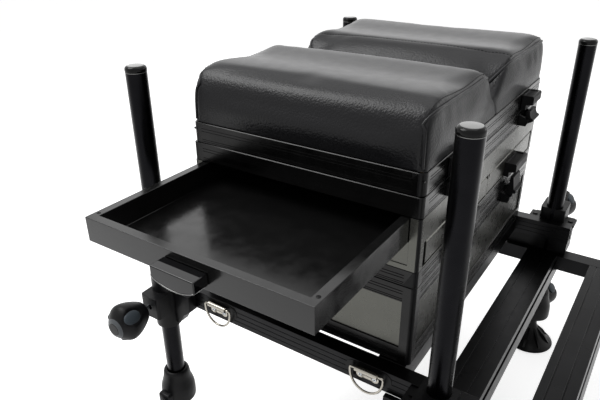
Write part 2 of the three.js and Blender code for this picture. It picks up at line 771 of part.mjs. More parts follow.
// Foot socket: a tapered housing over the end of the tube, with a cup for the ball below
function footSocket(sx) {
  const body = turned([
    [0, socketBottom], [socketBodyRadius - capRound, socketBottom], [socketBodyRadius, socketBottom + capRound],
    [socketBodyRadius, socketShoulder], [socketNeckRadius + capRound, socketTop - capRound * 2],
    [socketNeckRadius, socketTop], [0, socketTop],
  ], [0, 0]);
  const boss = bar('x', bossRadius, [0, sx * bossReach], [0, ballHeight + capHeight]);
  const cup = new THREE.SphereGeometry(ballRadius + turnGap * 2, ballSides, ballSides / 2)
    .rotateX(Math.PI / 2).translate(0, 0, ballHeight);
  const throat = bar('z', ballRadius + turnGap * 2, [socketBottom - cutOverrun, ballHeight], [0, 0], turnSides);
  const bore = bar('z', tubeRadius + seatGap, [legFoot, socketTop + cutOverrun], [0, 0], turnSides);
  const studHole = bar('x', studRadius + turnGap, [0, sx * (bossReach + cutOverrun)], [0, ballHeight + capHeight / 2]);
  return cutBy(joined(body, boss), bore, toSolid(cup), throat, studHole);
}

// Bell of the mud foot and the shoulder of its ribs, as shares of the foot's radius and height
const bellShares = [[0.72, 0.26], [0.5, 0.5], [0.32, 0.8]];
const ribShoulderShares = [0.62, 0.55];

// Mud foot: a ball on a short neck, and a flared bell with ribs
function mudFoot() {
  const flare = bellShares.map(([out, up]) => [out * footRadius, up * footShoulder]);
  const bell = turned([
    [0, 0], [footRadius, 0], [footRadius, footRim], ...flare,
    [ballNeckRadius, footShoulder], [ballNeckRadius, ballHeight], [0, ballHeight],
  ], [0, 0]);
  const ball = new THREE.SphereGeometry(ballRadius, ballSides, ballSides / 2)
    .rotateX(Math.PI / 2).translate(0, 0, ballHeight);
  const [shoulderOut, shoulderUp] = ribShoulderShares;
  const rib = shapeOf([[0, footRim / 2], [footRadius - footRim, footRim / 2],
    [shoulderOut * footRadius, shoulderUp * footShoulder], [ballNeckRadius, footShoulder], [0, footShoulder]]);
  const ribs = Array.from({ length: footRibCount }, (_, i) => prismY(rib, -footRibWidth / 2, footRibWidth / 2)
    .rotate([0, 0, 360 * i / footRibCount]));
  return joined(bell, toSolid(ball), ribs);
}

// Footplate

function plankSection(y0, y1) {
  const top = plankTop;
  const slotTop = top - plankLip;
  const slotFoot = slotTop - slotWidth;
  const frontAt = (z) => y0 + plankLean * (z - plankBottom) / plankHeight;
  const outline = [[y0, plankBottom], [frontAt(slotFoot), slotFoot], [frontAt(slotFoot) + slotDepth, slotFoot],
    [frontAt(slotFoot) + slotDepth, slotTop], [frontAt(slotTop), slotTop], [frontAt(top), top]];
  for (const share of plankGrooveShares) {
    const centre = y1 - share * (y1 - frontAt(top));
    outline.push([centre - plankGroove / 2, top], [centre - plankGroove / 2, top - plankGrooveDepth]);
    outline.push([centre + plankGroove / 2, top - plankGrooveDepth], [centre + plankGroove / 2, top]);
  }
  outline.push([y1, top], [y1, plankBottom]);
  return shapeOf(outline);
}

const railOuterX = legX - sideRailInset + sideRailWidth / 2;
const railInnerX = railOuterX - sideRailWidth;
const rearPlankFront = -legY - rearPlankWidth / 2;
const plankFront = (i) => rearPlankFront - i * (plankSpace + plankWidth);

// Frame: two rails bored for the front legs, and a plank across them at either end
function footplateFrame() {
  const lap = railInnerX + sideRailWidth / 4;
  const rear = prismX(plankSection(rearPlankFront, rearPlankFront + rearPlankWidth), -lap, lap);
  const last = plankFront(plankCount);
  const front = prismX(plankSection(last, last + plankWidth), -railOuterX, railOuterX);
  const rails = [-1, 1].map((side) => slab([side * railInnerX, side * railOuterX],
    [last + plankWidth, -legY + sideRailPastLeg], [plankBottom, plankTop]));
  const bores = [-1, 1].map((side) => tubeBore().translate([side * legX, -legY, 0]));
  return cutBy(joined(rear, front, rails), bores);
}

function footplateBoard(i) {
  const front = plankFront(i);
  const reach = railInnerX - seatGap;
  return prismX(plankSection(front, front + plankWidth), -reach, reach);
}

// Materials

const finish = (color, roughness, metalness) => ({ color, roughness, metalness });
const finishes = {
  leatherette: finish(0x2a2b2d, 0.55, 0),
  boardPly: finish(0x6e5a40, 0.8, 0),
  anodised: finish(0x1c1c1e, 0.35, 0.6),
  satinPanel: finish(0x5b5b57, 0.4, 0.5),
  blackPlastic: finish(0x161617, 0.4, 0),
  glossPlastic: finish(0x101011, 0.15, 0),
  drawerSheet: finish(0x232325, 0.3, 0.4),
  castAlloy: finish(0x1a1a1b, 0.5, 0.5),
  nickel: finish(0xb9b4a8, 0.2, 1),
};

function piece(name, body, finishName) {
  const mesh = new THREE.Mesh(toGeometry(body), new THREE.MeshStandardMaterial(finishes[finishName]));
  mesh.name = name;
  return mesh;
}

function group(place, ...pieces) {
  const made = new THREE.Group();
  made.position.set(...place);
  made.add(...pieces);
  return made;
}

// Assembly

const seatBox = new THREE.Group();
const home = [0, 0, 0];
const keeperFoot = topTrayTop + latchSeam;
const lowerKeeperFoot = midTrayTop + latchSeam + latchSeam / 2;
const drawerFace = -halfDepth - seatGap;

seatBox.add(group(home,
  piece('base_box', baseBox(), 'satinPanel'),
  piece('mid_tray', midTray(), 'anodised'),
  piece('drawer_cabinet', drawerCabinet(), 'satinPanel'),
  piece('side_drawer', sideDrawer(), 'drawerSheet'),
  piece('side_drawer_handle', sideDrawerHandle(), 'glossPlastic'),
  piece('front_drawer_left', frontDrawer(-1), 'satinPanel'),
  piece('front_drawer_right', frontDrawer(1), 'satinPanel'),
  piece('top_tray', topTray(), 'anodised'),
  piece('seat_frame', seatFrame(), 'anodised'),
  piece('seat_board', seatBoard(), 'boardPly'),
  piece('seat_cushion', seatCushion(), 'leatherette')));

['left', 'right'].forEach((hand, i) => {
  const upper = upperLatches[i];
  const lower = lowerLatches[i];
  const upperKeeper = latchKeeper(upper, keeperFoot, upperKeeperWidth, drawerFace + seatRailInset);
  const lowerKeeper = latchKeeper(lower, lowerKeeperFoot, lowerKeeperWidth, drawerFace);
  seatBox.add(group(home,
    piece(`seat_latch_keeper_${hand}`, upperKeeper, 'blackPlastic'),
    piece(`seat_latch_lever_${hand}`, latchLever(upper, upperLeverFoot, upperLatchHeight), 'blackPlastic'),
    piece(`drawer_latch_keeper_${hand}`, lowerKeeper, 'blackPlastic'),
    piece(`drawer_latch_lever_${hand}`, latchLever(lower, lowerLeverFoot, lowerLatchHeight), 'blackPlastic')));
});

seatBox.add(group(home,
  piece('side_beam_left', sideBeam(-1), 'anodised'),
  piece('side_beam_right', sideBeam(1), 'anodised'),
  piece('cross_beam_front', crossBeam(-1), 'anodised'),
  piece('cross_beam_rear', crossBeam(1), 'anodised')));

strapPlaces.forEach((y, i) => {
  const end = ['rear', 'front'][i];
  seatBox.add(group(home,
    piece(`strap_plate_${end}`, strapPlate(y), 'nickel'),
    piece(`strap_ring_${end}`, strapRing(y), 'nickel')));
});

for (const [sx, side] of [[-1, 'left'], [1, 'right']]) {
  for (const [sy, end] of [[-1, 'front'], [1, 'rear']]) {
    const top = sx < 0 ? legTopLeft : legTopRight;
    const clamp = sy < 0 ? frontClamp(sx, sy) : rearClamp(sx, sy);
    const knobZ = clampTop - (sy < 0 ? knobDropFront : knobDropRear);
    const studTip = tubeRadius + turnGap;
    seatBox.add(group([sx * legX, sy * legY, 0],
      piece(`leg_tube_${end}_${side}`, legTube(top), 'anodised'),
      piece(`leg_cap_${end}_${side}`, legCap(top), 'glossPlastic'),
      piece(`leg_clamp_${end}_${side}`, clamp, 'castAlloy'),
      piece(`leg_knob_${end}_${side}`, knob(sx, clampReach + studShow, knobZ, studTip), 'blackPlastic'),
      piece(`foot_socket_${end}_${side}`, footSocket(sx), 'blackPlastic'),
      piece(`foot_knob_${end}_${side}`,
        knob(sx, bossReach + studShow, ballHeight + capHeight / 2, ballRadius + turnGap * 2), 'blackPlastic'),
      piece(`mud_foot_${end}_${side}`, mudFoot(), 'blackPlastic')));
  }
}

seatBox.add(group(home,
  piece('footplate_frame', footplateFrame(), 'anodised'),
  piece('footplate_board_1', footplateBoard(1), 'anodised'),
  piece('footplate_board_2', footplateBoard(2), 'anodised')));

// The origin is the middle of the whole outline, on the ground
seatBox.updateMatrixWorld(true);
const middle = new THREE.Box3().setFromObject(seatBox).getCenter(new THREE.Vector3());
seatBox.position.set(-middle.x, -middle.y, 0);

export default seatBox;
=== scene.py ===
"""Looks of a fishing seat box: leatherette cushion, anodised trays and drawers, moulded clamps and feet."""

import json
import logging
import math
from collections.abc import Iterable
from dataclasses import dataclass, field
from enum import Enum

import bmesh
import bpy
from bmesh.types import BMEdge, BMesh, BMVert
from bpy.types import Material, NodeSocket, NodeTree, Object
from mathutils import Matrix, Vector
from mathutils.bvhtree import BVHTree
from mathutils.kdtree import KDTree


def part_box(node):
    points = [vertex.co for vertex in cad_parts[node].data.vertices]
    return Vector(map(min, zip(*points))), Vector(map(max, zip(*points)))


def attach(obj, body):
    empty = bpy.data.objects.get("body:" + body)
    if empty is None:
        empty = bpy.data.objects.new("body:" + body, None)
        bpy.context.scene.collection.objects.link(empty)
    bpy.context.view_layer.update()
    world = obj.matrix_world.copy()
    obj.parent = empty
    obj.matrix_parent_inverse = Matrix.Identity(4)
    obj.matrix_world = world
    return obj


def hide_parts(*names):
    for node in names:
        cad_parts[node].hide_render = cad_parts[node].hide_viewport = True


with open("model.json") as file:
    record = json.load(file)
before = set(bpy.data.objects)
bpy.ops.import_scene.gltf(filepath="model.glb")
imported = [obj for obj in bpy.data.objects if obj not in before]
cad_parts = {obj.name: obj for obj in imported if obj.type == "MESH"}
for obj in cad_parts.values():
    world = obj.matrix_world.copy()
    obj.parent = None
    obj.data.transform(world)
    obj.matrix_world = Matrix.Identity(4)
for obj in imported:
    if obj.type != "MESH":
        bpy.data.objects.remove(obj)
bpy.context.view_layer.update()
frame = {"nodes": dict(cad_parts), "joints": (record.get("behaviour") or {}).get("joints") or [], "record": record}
MM = 0.001
SAME_PLACE = 0.001 * MM
log = logging.getLogger("seat_box")

Triple = tuple[float, float, float]
Pair = tuple[float, float]
Ray = tuple[Vector, Vector]


class Side(Enum):
    """Left and right as seen by someone who sits on the box and looks over the footplate."""

    LEFT = -1
    RIGHT = 1


class End(Enum):
    """Front is where the footplate is."""

    FRONT = -1
    REAR = 1


class Axis(Enum):
    """A direction that a turned piece is drawn along."""

    X = 0
    Y = 1
    Z = 2


class Shade(Enum):
    """Angle, in degrees, past which an edge is shaded sharp."""

    CRISP = 14.0
    PLAIN = 35.0
    KNOB = 40.0
    MOULDED = 50.0
    SOFT = 60.0
    NONE = 180.0


# Finishes

# A noise pattern stays mostly between these two values.
NOISE_LOW = 0.3
NOISE_HIGH = 0.7


@dataclass(frozen=True)
class Finish:
    """A plain surface with a little unevenness in its colour, gloss and relief.

    The relief is a fine grain. Its size and depth are in metres, as are the sizes of the two patterns.
    """

    name: str
    color: Triple
    roughness: float
    metallic: float = 0.0
    specular: float = 0.5
    grain: float = 1.2 * MM
    depth: float = 0.02 * MM
    uneven: float = 0.12
    cloudy: float = 0.06
    tint_size: float = 45 * MM
    gloss_size: float = 18 * MM
    least_roughness: float = 0.02

    def build(self) -> Material:
        """Return the finished material, making it the first time.

        Returns:
            The material of this name.
        """
        made = bpy.data.materials.get(self.name)
        if made is not None:
            return made
        made = bpy.data.materials.new(self.name)
        made.use_nodes = True
        self.dress(made)
        return made

    def dress(self, material: Material) -> None:
        """Wire colour, gloss and relief into the material's shader.

        Args:
            material: a new material with its default shader.
        """
        tree = material.node_tree
        shader = tree.nodes["Principled BSDF"]
        shader.inputs["Metallic"].default_value = self.metallic
        shader.inputs["Specular IOR Level"].default_value = self.specular
        place = tree.nodes.new("ShaderNodeTexCoord").outputs["Object"]
        tint = self.ramp(tree, self.noise(tree, place, self.tint_size, detail=4))
        tree.links.new(tint, shader.inputs["Base Color"])
        low = max(self.least_roughness, self.roughness - self.cloudy)
        high = min(1.0, self.roughness + self.cloudy)
        gloss = self.spread(tree, self.noise(tree, place, self.gloss_size, detail=3), low, high)
        tree.links.new(gloss, shader.inputs["Roughness"])
        tree.links.new(self.relief(tree, place), shader.inputs["Normal"])

    def relief(self, tree: NodeTree, place: NodeSocket) -> NodeSocket:
        """Return the surface direction of the fine grain.

        Args:
            tree: the material's nodes.
            place: where on the piece.

        Returns:
            The direction, for the shader.
        """
        return self.bump(tree, self.noise(tree, place, self.grain, detail=2), self.depth)

    def ramp(self, tree: NodeTree, amount: NodeSocket) -> NodeSocket:
        """Return the finish's colour, a little darker or lighter by amount.

        Args:
            tree: the material's nodes.
            amount: a noise pattern.

        Returns:
            The colour.
        """
        node = tree.nodes.new("ShaderNodeValToRGB")
        dark, light = node.color_ramp.elements
        dark.position = NOISE_LOW
        light.position = NOISE_HIGH
        dark.color = (*(c * (1 - self.uneven) for c in self.color), 1)
        light.color = (*(min(1.0, c * (1 + self.uneven)) for c in self.color), 1)
        tree.links.new(amount, node.inputs["Fac"])
        return node.outputs["Color"]

    @staticmethod
    def noise(tree: NodeTree, place: NodeSocket, size: float, detail: float) -> NodeSocket:
        """Return a noise pattern.

        Args:
            tree: the material's nodes.
            place: where on the piece.
            size: of its features, in metres.
            detail: how many finer layers it has.

        Returns:
            The pattern's value.
        """
        node = tree.nodes.new("ShaderNodeTexNoise")
        node.inputs["Scale"].default_value = 1 / size
        node.inputs["Detail"].default_value = detail
        tree.links.new(place, node.inputs["Vector"])
        return node.outputs["Fac"]

    @staticmethod
    def spread(
        tree: NodeTree,
        amount: NodeSocket,
        low: float,
        high: float,
        start: float = NOISE_LOW,
        stop: float = NOISE_HIGH,
    ) -> NodeSocket:
        """Return amount, brought from start..stop to low..high.

        Args:
            tree: the material's nodes.
            amount: the value to bring there.
            low: what start becomes.
            high: what stop becomes.
            start: the lowest amount.
            stop: the highest amount.

        Returns:
            The new value.
        """
        node = tree.nodes.new("ShaderNodeMapRange")
        node.inputs["From Min"].default_value = start
        node.inputs["From Max"].default_value = stop
        node.inputs["To Min"].default_value = low
        node.inputs["To Max"].default_value = high
        tree.links.new(amount, node.inputs["Value"])
        return node.outputs["Result"]

    @staticmethod
    def bump(tree: NodeTree, height: NodeSocket, depth: float, under: NodeSocket | None = None) -> NodeSocket:
        """Return the surface direction of a relief.

        Args:
            tree: the material's nodes.
            height: the relief's pattern.
            depth: of the relief, in metres.
            under: the direction of a relief that this one lies on.

        Returns:
            The direction.
        """
        node = tree.nodes.new("ShaderNodeBump")
        node.inputs["Strength"].default_value = 1.0
        node.inputs["Distance"].default_value = depth
        tree.links.new(height, node.inputs["Height"])
        if under is not None:
            tree.links.new(under, node.inputs["Normal"])
        return node.outputs["Normal"]

    @staticmethod
    def stretched(tree: NodeTree, place: NodeSocket, scale: Triple) -> NodeSocket:
        """Return a place scaled along the axes, which draws a pattern out.

        Args:
            tree: the material's nodes.
            place: where on the piece.
            scale: below 1 where the pattern is drawn out.

        Returns:
            The scaled place.
        """
        node = tree.nodes.new("ShaderNodeMapping")
        node.inputs["Scale"].default_value = scale
        tree.links.new(place, node.inputs["Vector"])
        return node.outputs["Vector"]


@dataclass(frozen=True)
class Leatherette(Finish):
    """Imitation leather: rounded pebbles parted by fine creases, over soft wrinkles.

    Skin that lies flat is drawn tight, and its pebbles and wrinkles are flatter there.
    """

    pebble: float = 2.8 * MM
    pebble_depth: float = 0.28 * MM
    pebble_softness: float = 0.25
    sway_size: float = 6 * MM
    sway: float = 2.4 * MM
    wrinkle: float = 22 * MM
    wrinkle_depth: float = 0.3 * MM
    wrinkle_stretch: Triple = (1.0, 0.55, 1.15)
    pore: float = 0.6 * MM
    tight: float = 0.2
    slack_up: float = 0.7
    tight_up: float = 0.97

    def relief(self, tree: NodeTree, place: NodeSocket) -> NodeSocket:
        """Return the direction of the pebbled and wrinkled skin.

        Args:
            tree: the material's nodes.
            place: where on the piece.

        Returns:
            The direction, for the shader.
        """
        slack = self.slack_share(tree)
        wrinkles = self.noise(tree, self.stretched(tree, place, self.wrinkle_stretch), self.wrinkle, detail=5)
        folds = self.bump(tree, self.math(tree, "MULTIPLY", wrinkles, slack), self.wrinkle_depth)
        height = self.math(tree, "MULTIPLY", self.pebbles(tree, place), slack)
        pebbled = self.bump(tree, height, self.pebble_depth, folds)
        return self.bump(tree, self.noise(tree, place, self.pore, detail=2), self.depth, pebbled)

    def pebbles(self, tree: NodeTree, place: NodeSocket) -> NodeSocket:
        """Return the height of rounded cells that stand a little out of line.

        Args:
            tree: the material's nodes.
            place: where on the piece.

        Returns:
            The height, 1 in the middle of a pebble.
        """
        sway = tree.nodes.new("ShaderNodeTexNoise")
        sway.inputs["Scale"].default_value = 1 / self.sway_size
        tree.links.new(place, sway.inputs["Vector"])
        moved = tree.nodes.new("ShaderNodeVectorMath")
        moved.operation = "MULTIPLY_ADD"
        moved.inputs[1].default_value = (self.sway, self.sway, self.sway)
        tree.links.new(sway.outputs["Color"], moved.inputs[0])
        tree.links.new(place, moved.inputs[2])
        cells = tree.nodes.new("ShaderNodeTexVoronoi")
        cells.feature = "SMOOTH_F1"
        cells.inputs["Scale"].default_value = 1 / self.pebble
        cells.inputs["Smoothness"].default_value = self.pebble_softness
        tree.links.new(moved.outputs["Vector"], cells.inputs["Vector"])
        return self.math(tree, "SUBTRACT", 1.0, cells.outputs["Distance"])

    def slack_share(self, tree: NodeTree) -> NodeSocket:
        """Return 1 on upright skin, and less where the skin lies flat and is drawn tight.

        Args:
            tree: the material's nodes.

        Returns:
            The share of the relief that is left.
        """
        parts = tree.nodes.new("ShaderNodeSeparateXYZ")
        tree.links.new(tree.nodes.new("ShaderNodeNewGeometry").outputs["Normal"], parts.inputs["Vector"])
        return self.spread(tree, parts.outputs["Z"], 1.0, self.tight, start=self.slack_up, stop=self.tight_up)

    @staticmethod
    def math(tree: NodeTree, operation: str, one: NodeSocket | float, other: NodeSocket) -> NodeSocket:
        """Return the result of a sum on two amounts.

        Args:
            tree: the material's nodes.
            operation: the sum, as the node names it.
            one: the first amount, or a plain number.
            other: the second amount.

        Returns:
            The result.
        """
        node = tree.nodes.new("ShaderNodeMath")
        node.operation = operation
        if isinstance(one, NodeSocket):
            tree.links.new(one, node.inputs[0])
        else:
            node.inputs[0].default_value = one
        tree.links.new(other, node.inputs[1])
        return node.outputs["Value"]


@dataclass(frozen=True)
class Plywood(Finish):
    """Pale wood with its grain along X."""

    fibre: float = 2 * MM
    fibre_stretch: Triple = (0.05, 1.0, 1.0)

    def relief(self, tree: NodeTree, place: NodeSocket) -> NodeSocket:
        """Return the direction of the long grain.

        Args:
            tree: the material's nodes.
            place: where on the piece.

        Returns:
            The direction, for the shader.
        """
        fibres = self.noise(tree, self.stretched(tree, place, self.fibre_stretch), self.fibre, detail=4)
        return self.bump(tree, fibres, self.depth)


LEATHERETTE = Leatherette(
    "leatherette_black", (0.005, 0.005, 0.006), 0.35, specular=0.225, uneven=0.1, cloudy=0.02
)
CORDING = Leatherette(
    "leatherette_piping",
    (0.006, 0.006, 0.007),
    0.4,
    specular=0.25,
    pebble=1.4 * MM,
    pebble_depth=0.08 * MM,
)
THREAD = Finish("sewing_thread", (0.006, 0.006, 0.0065), 0.7, specular=0.2, grain=0.4 * MM)
PLYWOOD = Plywood("plywood_birch", (0.45, 0.34, 0.22), 0.7, depth=0.2 * MM)
BEAM = Finish(
    "anodised_beam", (0.0135, 0.0135, 0.014), 0.3, metallic=1.0, depth=0.0015 * MM, cloudy=0.03
)
ANODISED = Finish(
    "anodised_black", (0.024, 0.0238, 0.0238), 0.24, metallic=1.0, depth=0.0015 * MM, cloudy=0.03
)
PANEL = Finish(
    "anodised_grey",
    (0.087, 0.087, 0.078),
    0.28,
    metallic=0.9,
    depth=0.0015 * MM,
    uneven=0.04,
    cloudy=0.03,
)
TUBE = Finish("anodised_tube", (0.008, 0.008, 0.009), 0.28, metallic=1.0, depth=0.0015 * MM, cloudy=0.03)
SHEET = Finish(
    "powder_coat_black", (0.0045, 0.0045, 0.0045), 0.2, specular=0.4, grain=1.6 * MM, depth=0.006 * MM
)
MOULDED = Finish("moulded_black", (0.0045, 0.0045, 0.005), 0.4, specular=0.14, grain=0.9 * MM)
RUBBERY = Finish(
    "foot_rubber", (0.004, 0.004, 0.004), 0.36, specular=0.14, grain=2 * MM, depth=0.03 * MM
)
GLOSSY = Finish(
    "gloss_black",
    (0.004, 0.004, 0.0045),
    0.04,
    specular=0.32,
    grain=3 * MM,
    depth=0.002 * MM,
    cloudy=0.02,
)
CAP_RIM = Finish(
    "cap_black",
    (0.004, 0.004, 0.004),
    0.14,
    specular=0.14,
    grain=3 * MM,
    depth=0.003 * MM,
    cloudy=0.04,
)
# Pale metal: the cap's top disc, and a painted highlight on the handle's lip.
PALE_DISC_AND_LIP_HIGHLIGHT = Finish(
    "cap_disc", (0.15, 0.15, 0.148), 0.2, metallic=1.0, grain=3 * MM, depth=0.003 * MM, cloudy=0.04
)
BARE_EDGE = Finish(
    "bare_aluminium", (0.20, 0.20, 0.195), 0.34, metallic=1.0, grain=0.8 * MM, depth=0.003 * MM
)
GRIP_PAD = Finish(
    "grip_pad_slate", (0.045, 0.056, 0.066), 0.5, specular=0.2, grain=1 * MM, depth=0.03 * MM
)
DISC_GREY = Finish("disc_grey", (0.085, 0.092, 0.10), 0.45, specular=0.3, depth=0.01 * MM)
NICKEL = Finish(
    "nickel_plate",
    (0.36, 0.34, 0.30),
    0.18,
    metallic=1.0,
    grain=2 * MM,
    depth=0.003 * MM,
    uneven=0.08,
)
STEEL = Finish("zinc_steel", (0.45, 0.47, 0.49), 0.25, metallic=1.0, depth=0.003 * MM, uneven=0.1)


# Shapes

# A curve at a corner takes at most this share of each side of the corner.
CORNER_REACH = 0.45
# Faces of a copied CAD node that meet at less than this angle are one face.
SAME_FACE = math.radians(0.5)
# How finely the round section of a cord is divided.
CORD_STEPS = 3


def polished(mesh: BMesh, name: str, finishes: list[Finish], shade: Shade = Shade.PLAIN) -> Object:
    """Turn a bmesh into a smooth-shaded object that keeps its sharp edges.

    Args:
        mesh: the shape, in metres, in the object's own frame.
        name: the new object's name.
        finishes: one finish for each material index.
        shade: how sharp an edge must be to stay sharp.

    Returns:
        The linked object.
    """
    for face in mesh.faces:
        face.smooth = True
    limit = math.radians(shade.value)
    for edge in mesh.edges:
        if len(edge.link_faces) == 2 and edge.calc_face_angle(0) > limit:
            edge.smooth = False
    data = bpy.data.meshes.new(name)
    mesh.to_mesh(data)
    mesh.free()
    for finish in finishes:
        data.materials.append(finish.build())
    made = bpy.data.objects.new(name, data)
    bpy.context.scene.collection.objects.link(made)
    return made


def round_edges(
    mesh: BMesh, edges: Iterable[BMEdge], width: float, segments: int = 2, clamp: bool = False
) -> None:
    """Round some edges of a shape.

    Args:
        mesh: the shape.
        edges: those to round.
        width: of the rounding on each side of an edge.
        segments: steps round each edge.
        clamp: whether roundings that meet are narrowed.
    """
    bmesh.ops.bevel(
        mesh,
        geom=list(edges),
        offset=width,
        segments=segments,
        affect="EDGES",
        profile=0.5,
        material=-1,
        clamp_overlap=clamp,
    )


def prism(mesh: BMesh, outline: list[Vector], way: Vector) -> None:
    """Add a prism: an outline drawn along a straight way.

    Args:
        mesh: receives the prism.
        outline: its corners, in order.
        way: from one end to the other.
    """
    before = set(mesh.faces)
    face = mesh.faces.new([mesh.verts.new(corner) for corner in outline])
    grown = bmesh.ops.extrude_face_region(mesh, geom=[face])["geom"]
    bmesh.ops.translate(mesh, verts=[g for g in grown if isinstance(g, BMVert)], vec=way)
    bmesh.ops.recalc_face_normals(mesh, faces=[f for f in mesh.faces if f not in before])


def block(mesh: BMesh, one: Vector, other: Vector, bevel: float = 0, segments: int = 2) -> None:
    """Add a block between two corners, with rounded edges.

    Args:
        mesh: receives the block.
        one: a corner.
        other: the opposite corner.
        bevel: radius of its edges.
        segments: steps round each edge.
    """
    size = [abs(a - b) for a, b in zip(one, other)]
    place = Matrix.Translation((one + other) / 2) @ Matrix.Diagonal((*size, 1))
    verts = bmesh.ops.create_cube(mesh, size=1.0, matrix=place)["verts"]
    if bevel > 0:
        round_edges(mesh, {e for v in verts for e in v.link_edges}, bevel, segments)


def turned(
    mesh: BMesh,
    profile: Iterable[Pair],
    centre: Vector,
    axis: Axis = Axis.Z,
    steps: int = 48,
    material: int = 0,
) -> None:
    """Add a turned shape, spun from a profile of (radius, height) pairs.

    Args:
        mesh: receives the shape.
        profile: from one end on the axis to the other.
        centre: where height 0 lies.
        axis: the direction of height.
        steps: facets round the shape.
        material: index of its finish.
    """
    ways = {
        Axis.X: (Vector((0, 1, 0)), Vector((1, 0, 0))),
        Axis.Y: (Vector((0, 0, 1)), Vector((0, 1, 0))),
        Axis.Z: (Vector((1, 0, 0)), Vector((0, 0, 1))),
    }
    out, up = ways[axis]
    before = set(mesh.faces)
    verts = [mesh.verts.new(centre + out * radius + up * height) for radius, height in profile]
    edges = [mesh.edges.new(pair) for pair in zip(verts, verts[1:])]
    bmesh.ops.spin(
        mesh,
        geom=verts + edges,
        cent=centre,
        axis=up,
        angle=2 * math.pi,
        steps=steps,
        use_merge=True,
        use_duplicate=False,
    )
    around = {v for f in mesh.faces if f not in before for v in f.verts}
    bmesh.ops.remove_doubles(mesh, verts=list(around), dist=SAME_PLACE)
    faces = [f for f in mesh.faces if f not in before]
    bmesh.ops.recalc_face_normals(mesh, faces=faces)
    for face in faces:
        face.material_index = material


def rounded(profile: list[Pair], radius: float, steps: int = 4) -> list[Pair]:
    """Round the inner corners of an open profile.

    Args:
        profile: corner points.
        radius: how far before and after a corner its curve starts and ends, at most.
        steps: points along each curve.

    Returns:
        The profile with a short curve at each inner corner.
    """
    points = [Vector(p) for p in profile]
    done = [profile[0]]
    for before, here, after in zip(points, points[1:], points[2:]):
        back = min(radius, (before - here).length * CORNER_REACH)
        ahead = min(radius, (after - here).length * CORNER_REACH)
        start = here + (before - here).normalized() * back
        stop = here + (after - here).normalized() * ahead
        for i in range(steps + 1):
            t = i / steps
            done.append(tuple(start * (1 - t) ** 2 + here * 2 * t * (1 - t) + stop * t * t))
    done.append(profile[-1])
    return done


def tube_path(name: str, points: list[Vector], radius: float, finish: Finish, closed: bool = False) -> Object:
    """Make a round cord along smooth points.

    Args:
        name: the new object's name.
        points: its route, in metres.
        radius: of its section.
        finish: its material.
        closed: whether the last point joins the first.

    Returns:
        The linked curve object.
    """
    curve = bpy.data.curves.new(name, "CURVE")
    curve.dimensions = "3D"
    curve.bevel_depth = radius
    curve.bevel_resolution = CORD_STEPS
    curve.use_fill_caps = not closed
    line = curve.splines.new("POLY")
    line.points.add(len(points) - 1)
    for place, point in zip(line.points, points):
        place.co = (*point, 1)
    line.use_cyclic_u = closed
    line.use_smooth = True
    curve.materials.append(finish.build())
    made = bpy.data.objects.new(name, curve)
    bpy.context.scene.collection.objects.link(made)
    return made


# Places in the frame


def middle(node: str) -> Vector:
    """Return the centre of a CAD node's box."""
    low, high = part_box(node)
    return (low + high) / 2


def upright_axis(node: str) -> Vector:
    """Return the foot, at height 0, of the upright axis of a CAD node."""
    return Vector((*middle(node).xy, 0))


def joint_place(node: str) -> Vector:
    """Return a point on the axis of the joint that moves a CAD node."""
    return Vector(next(joint for joint in frame["joints"] if joint["child"] == node)["pos_m"])


def body_of_node(node: str) -> str:
    """Return the name of the body that a CAD node belongs to."""
    bodies = frame["record"]["behaviour"]["bodies"]
    return next(body for body, nodes in bodies.items() if node in nodes)


def stands_for(piece: Object, node: str) -> None:
    """Put a piece in a CAD node's stead and on its body.

    Args:
        piece: the finished piece.
        node: the CAD node that it rides like and replaces.
    """
    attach(piece, body_of_node(node))
    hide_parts(node)
    log.info("%s replaces %s", piece.name, node)


def goes_on(piece: Object, node: str) -> None:
    """Let an added detail ride with a CAD node's body.

    Args:
        piece: the finished detail.
        node: a CAD node of the body that it rides on.
    """
    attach(piece, body_of_node(node))
    log.info("%s rides with %s", piece.name, node)


def repaint(node: str, finish: Finish) -> None:
    """Give a CAD node that stays in view its finish.

    Args:
        node: the CAD node.
        finish: its material.
    """
    shown = frame["nodes"][node]
    shown.data.materials.clear()
    shown.data.materials.append(finish.build())


def eased(node: str, finish: Finish, width: float, segments: int = 2, angle: float = 40.0) -> Object:
    """Copy a CAD node and round its sharp edges, as a milled or moulded piece has them.

    A milled edge has two segments and is shaded crisp. A moulded one has more and is shaded soft.

    Args:
        node: the CAD node.
        finish: the copy's material.
        width: radius of the eased edges.
        segments: steps round each edge.
        angle: edges sharper than this, in degrees, are eased.

    Returns:
        The copy, in the node's stead.
    """
    mesh = bmesh.new()
    mesh.from_mesh(frame["nodes"][node].data)
    bmesh.ops.remove_doubles(mesh, verts=mesh.verts, dist=2 * SAME_PLACE)
    bmesh.ops.dissolve_limit(mesh, angle_limit=SAME_FACE, verts=mesh.verts, edges=mesh.edges)
    limit = math.radians(angle)
    sharp = [e for e in mesh.edges if len(e.link_faces) == 2 and e.calc_face_angle(0) > limit]
    round_edges(mesh, sharp, width, segments, clamp=True)
    shade = Shade.MOULDED if segments > 2 else Shade.CRISP
    piece = polished(mesh, f"{node}_eased", [finish], shade)
    finer = piece.modifiers.new("weighted", "WEIGHTED_NORMAL")
    finer.keep_sharp = True
    stands_for(piece, node)
    return piece


# Sub-assemblies


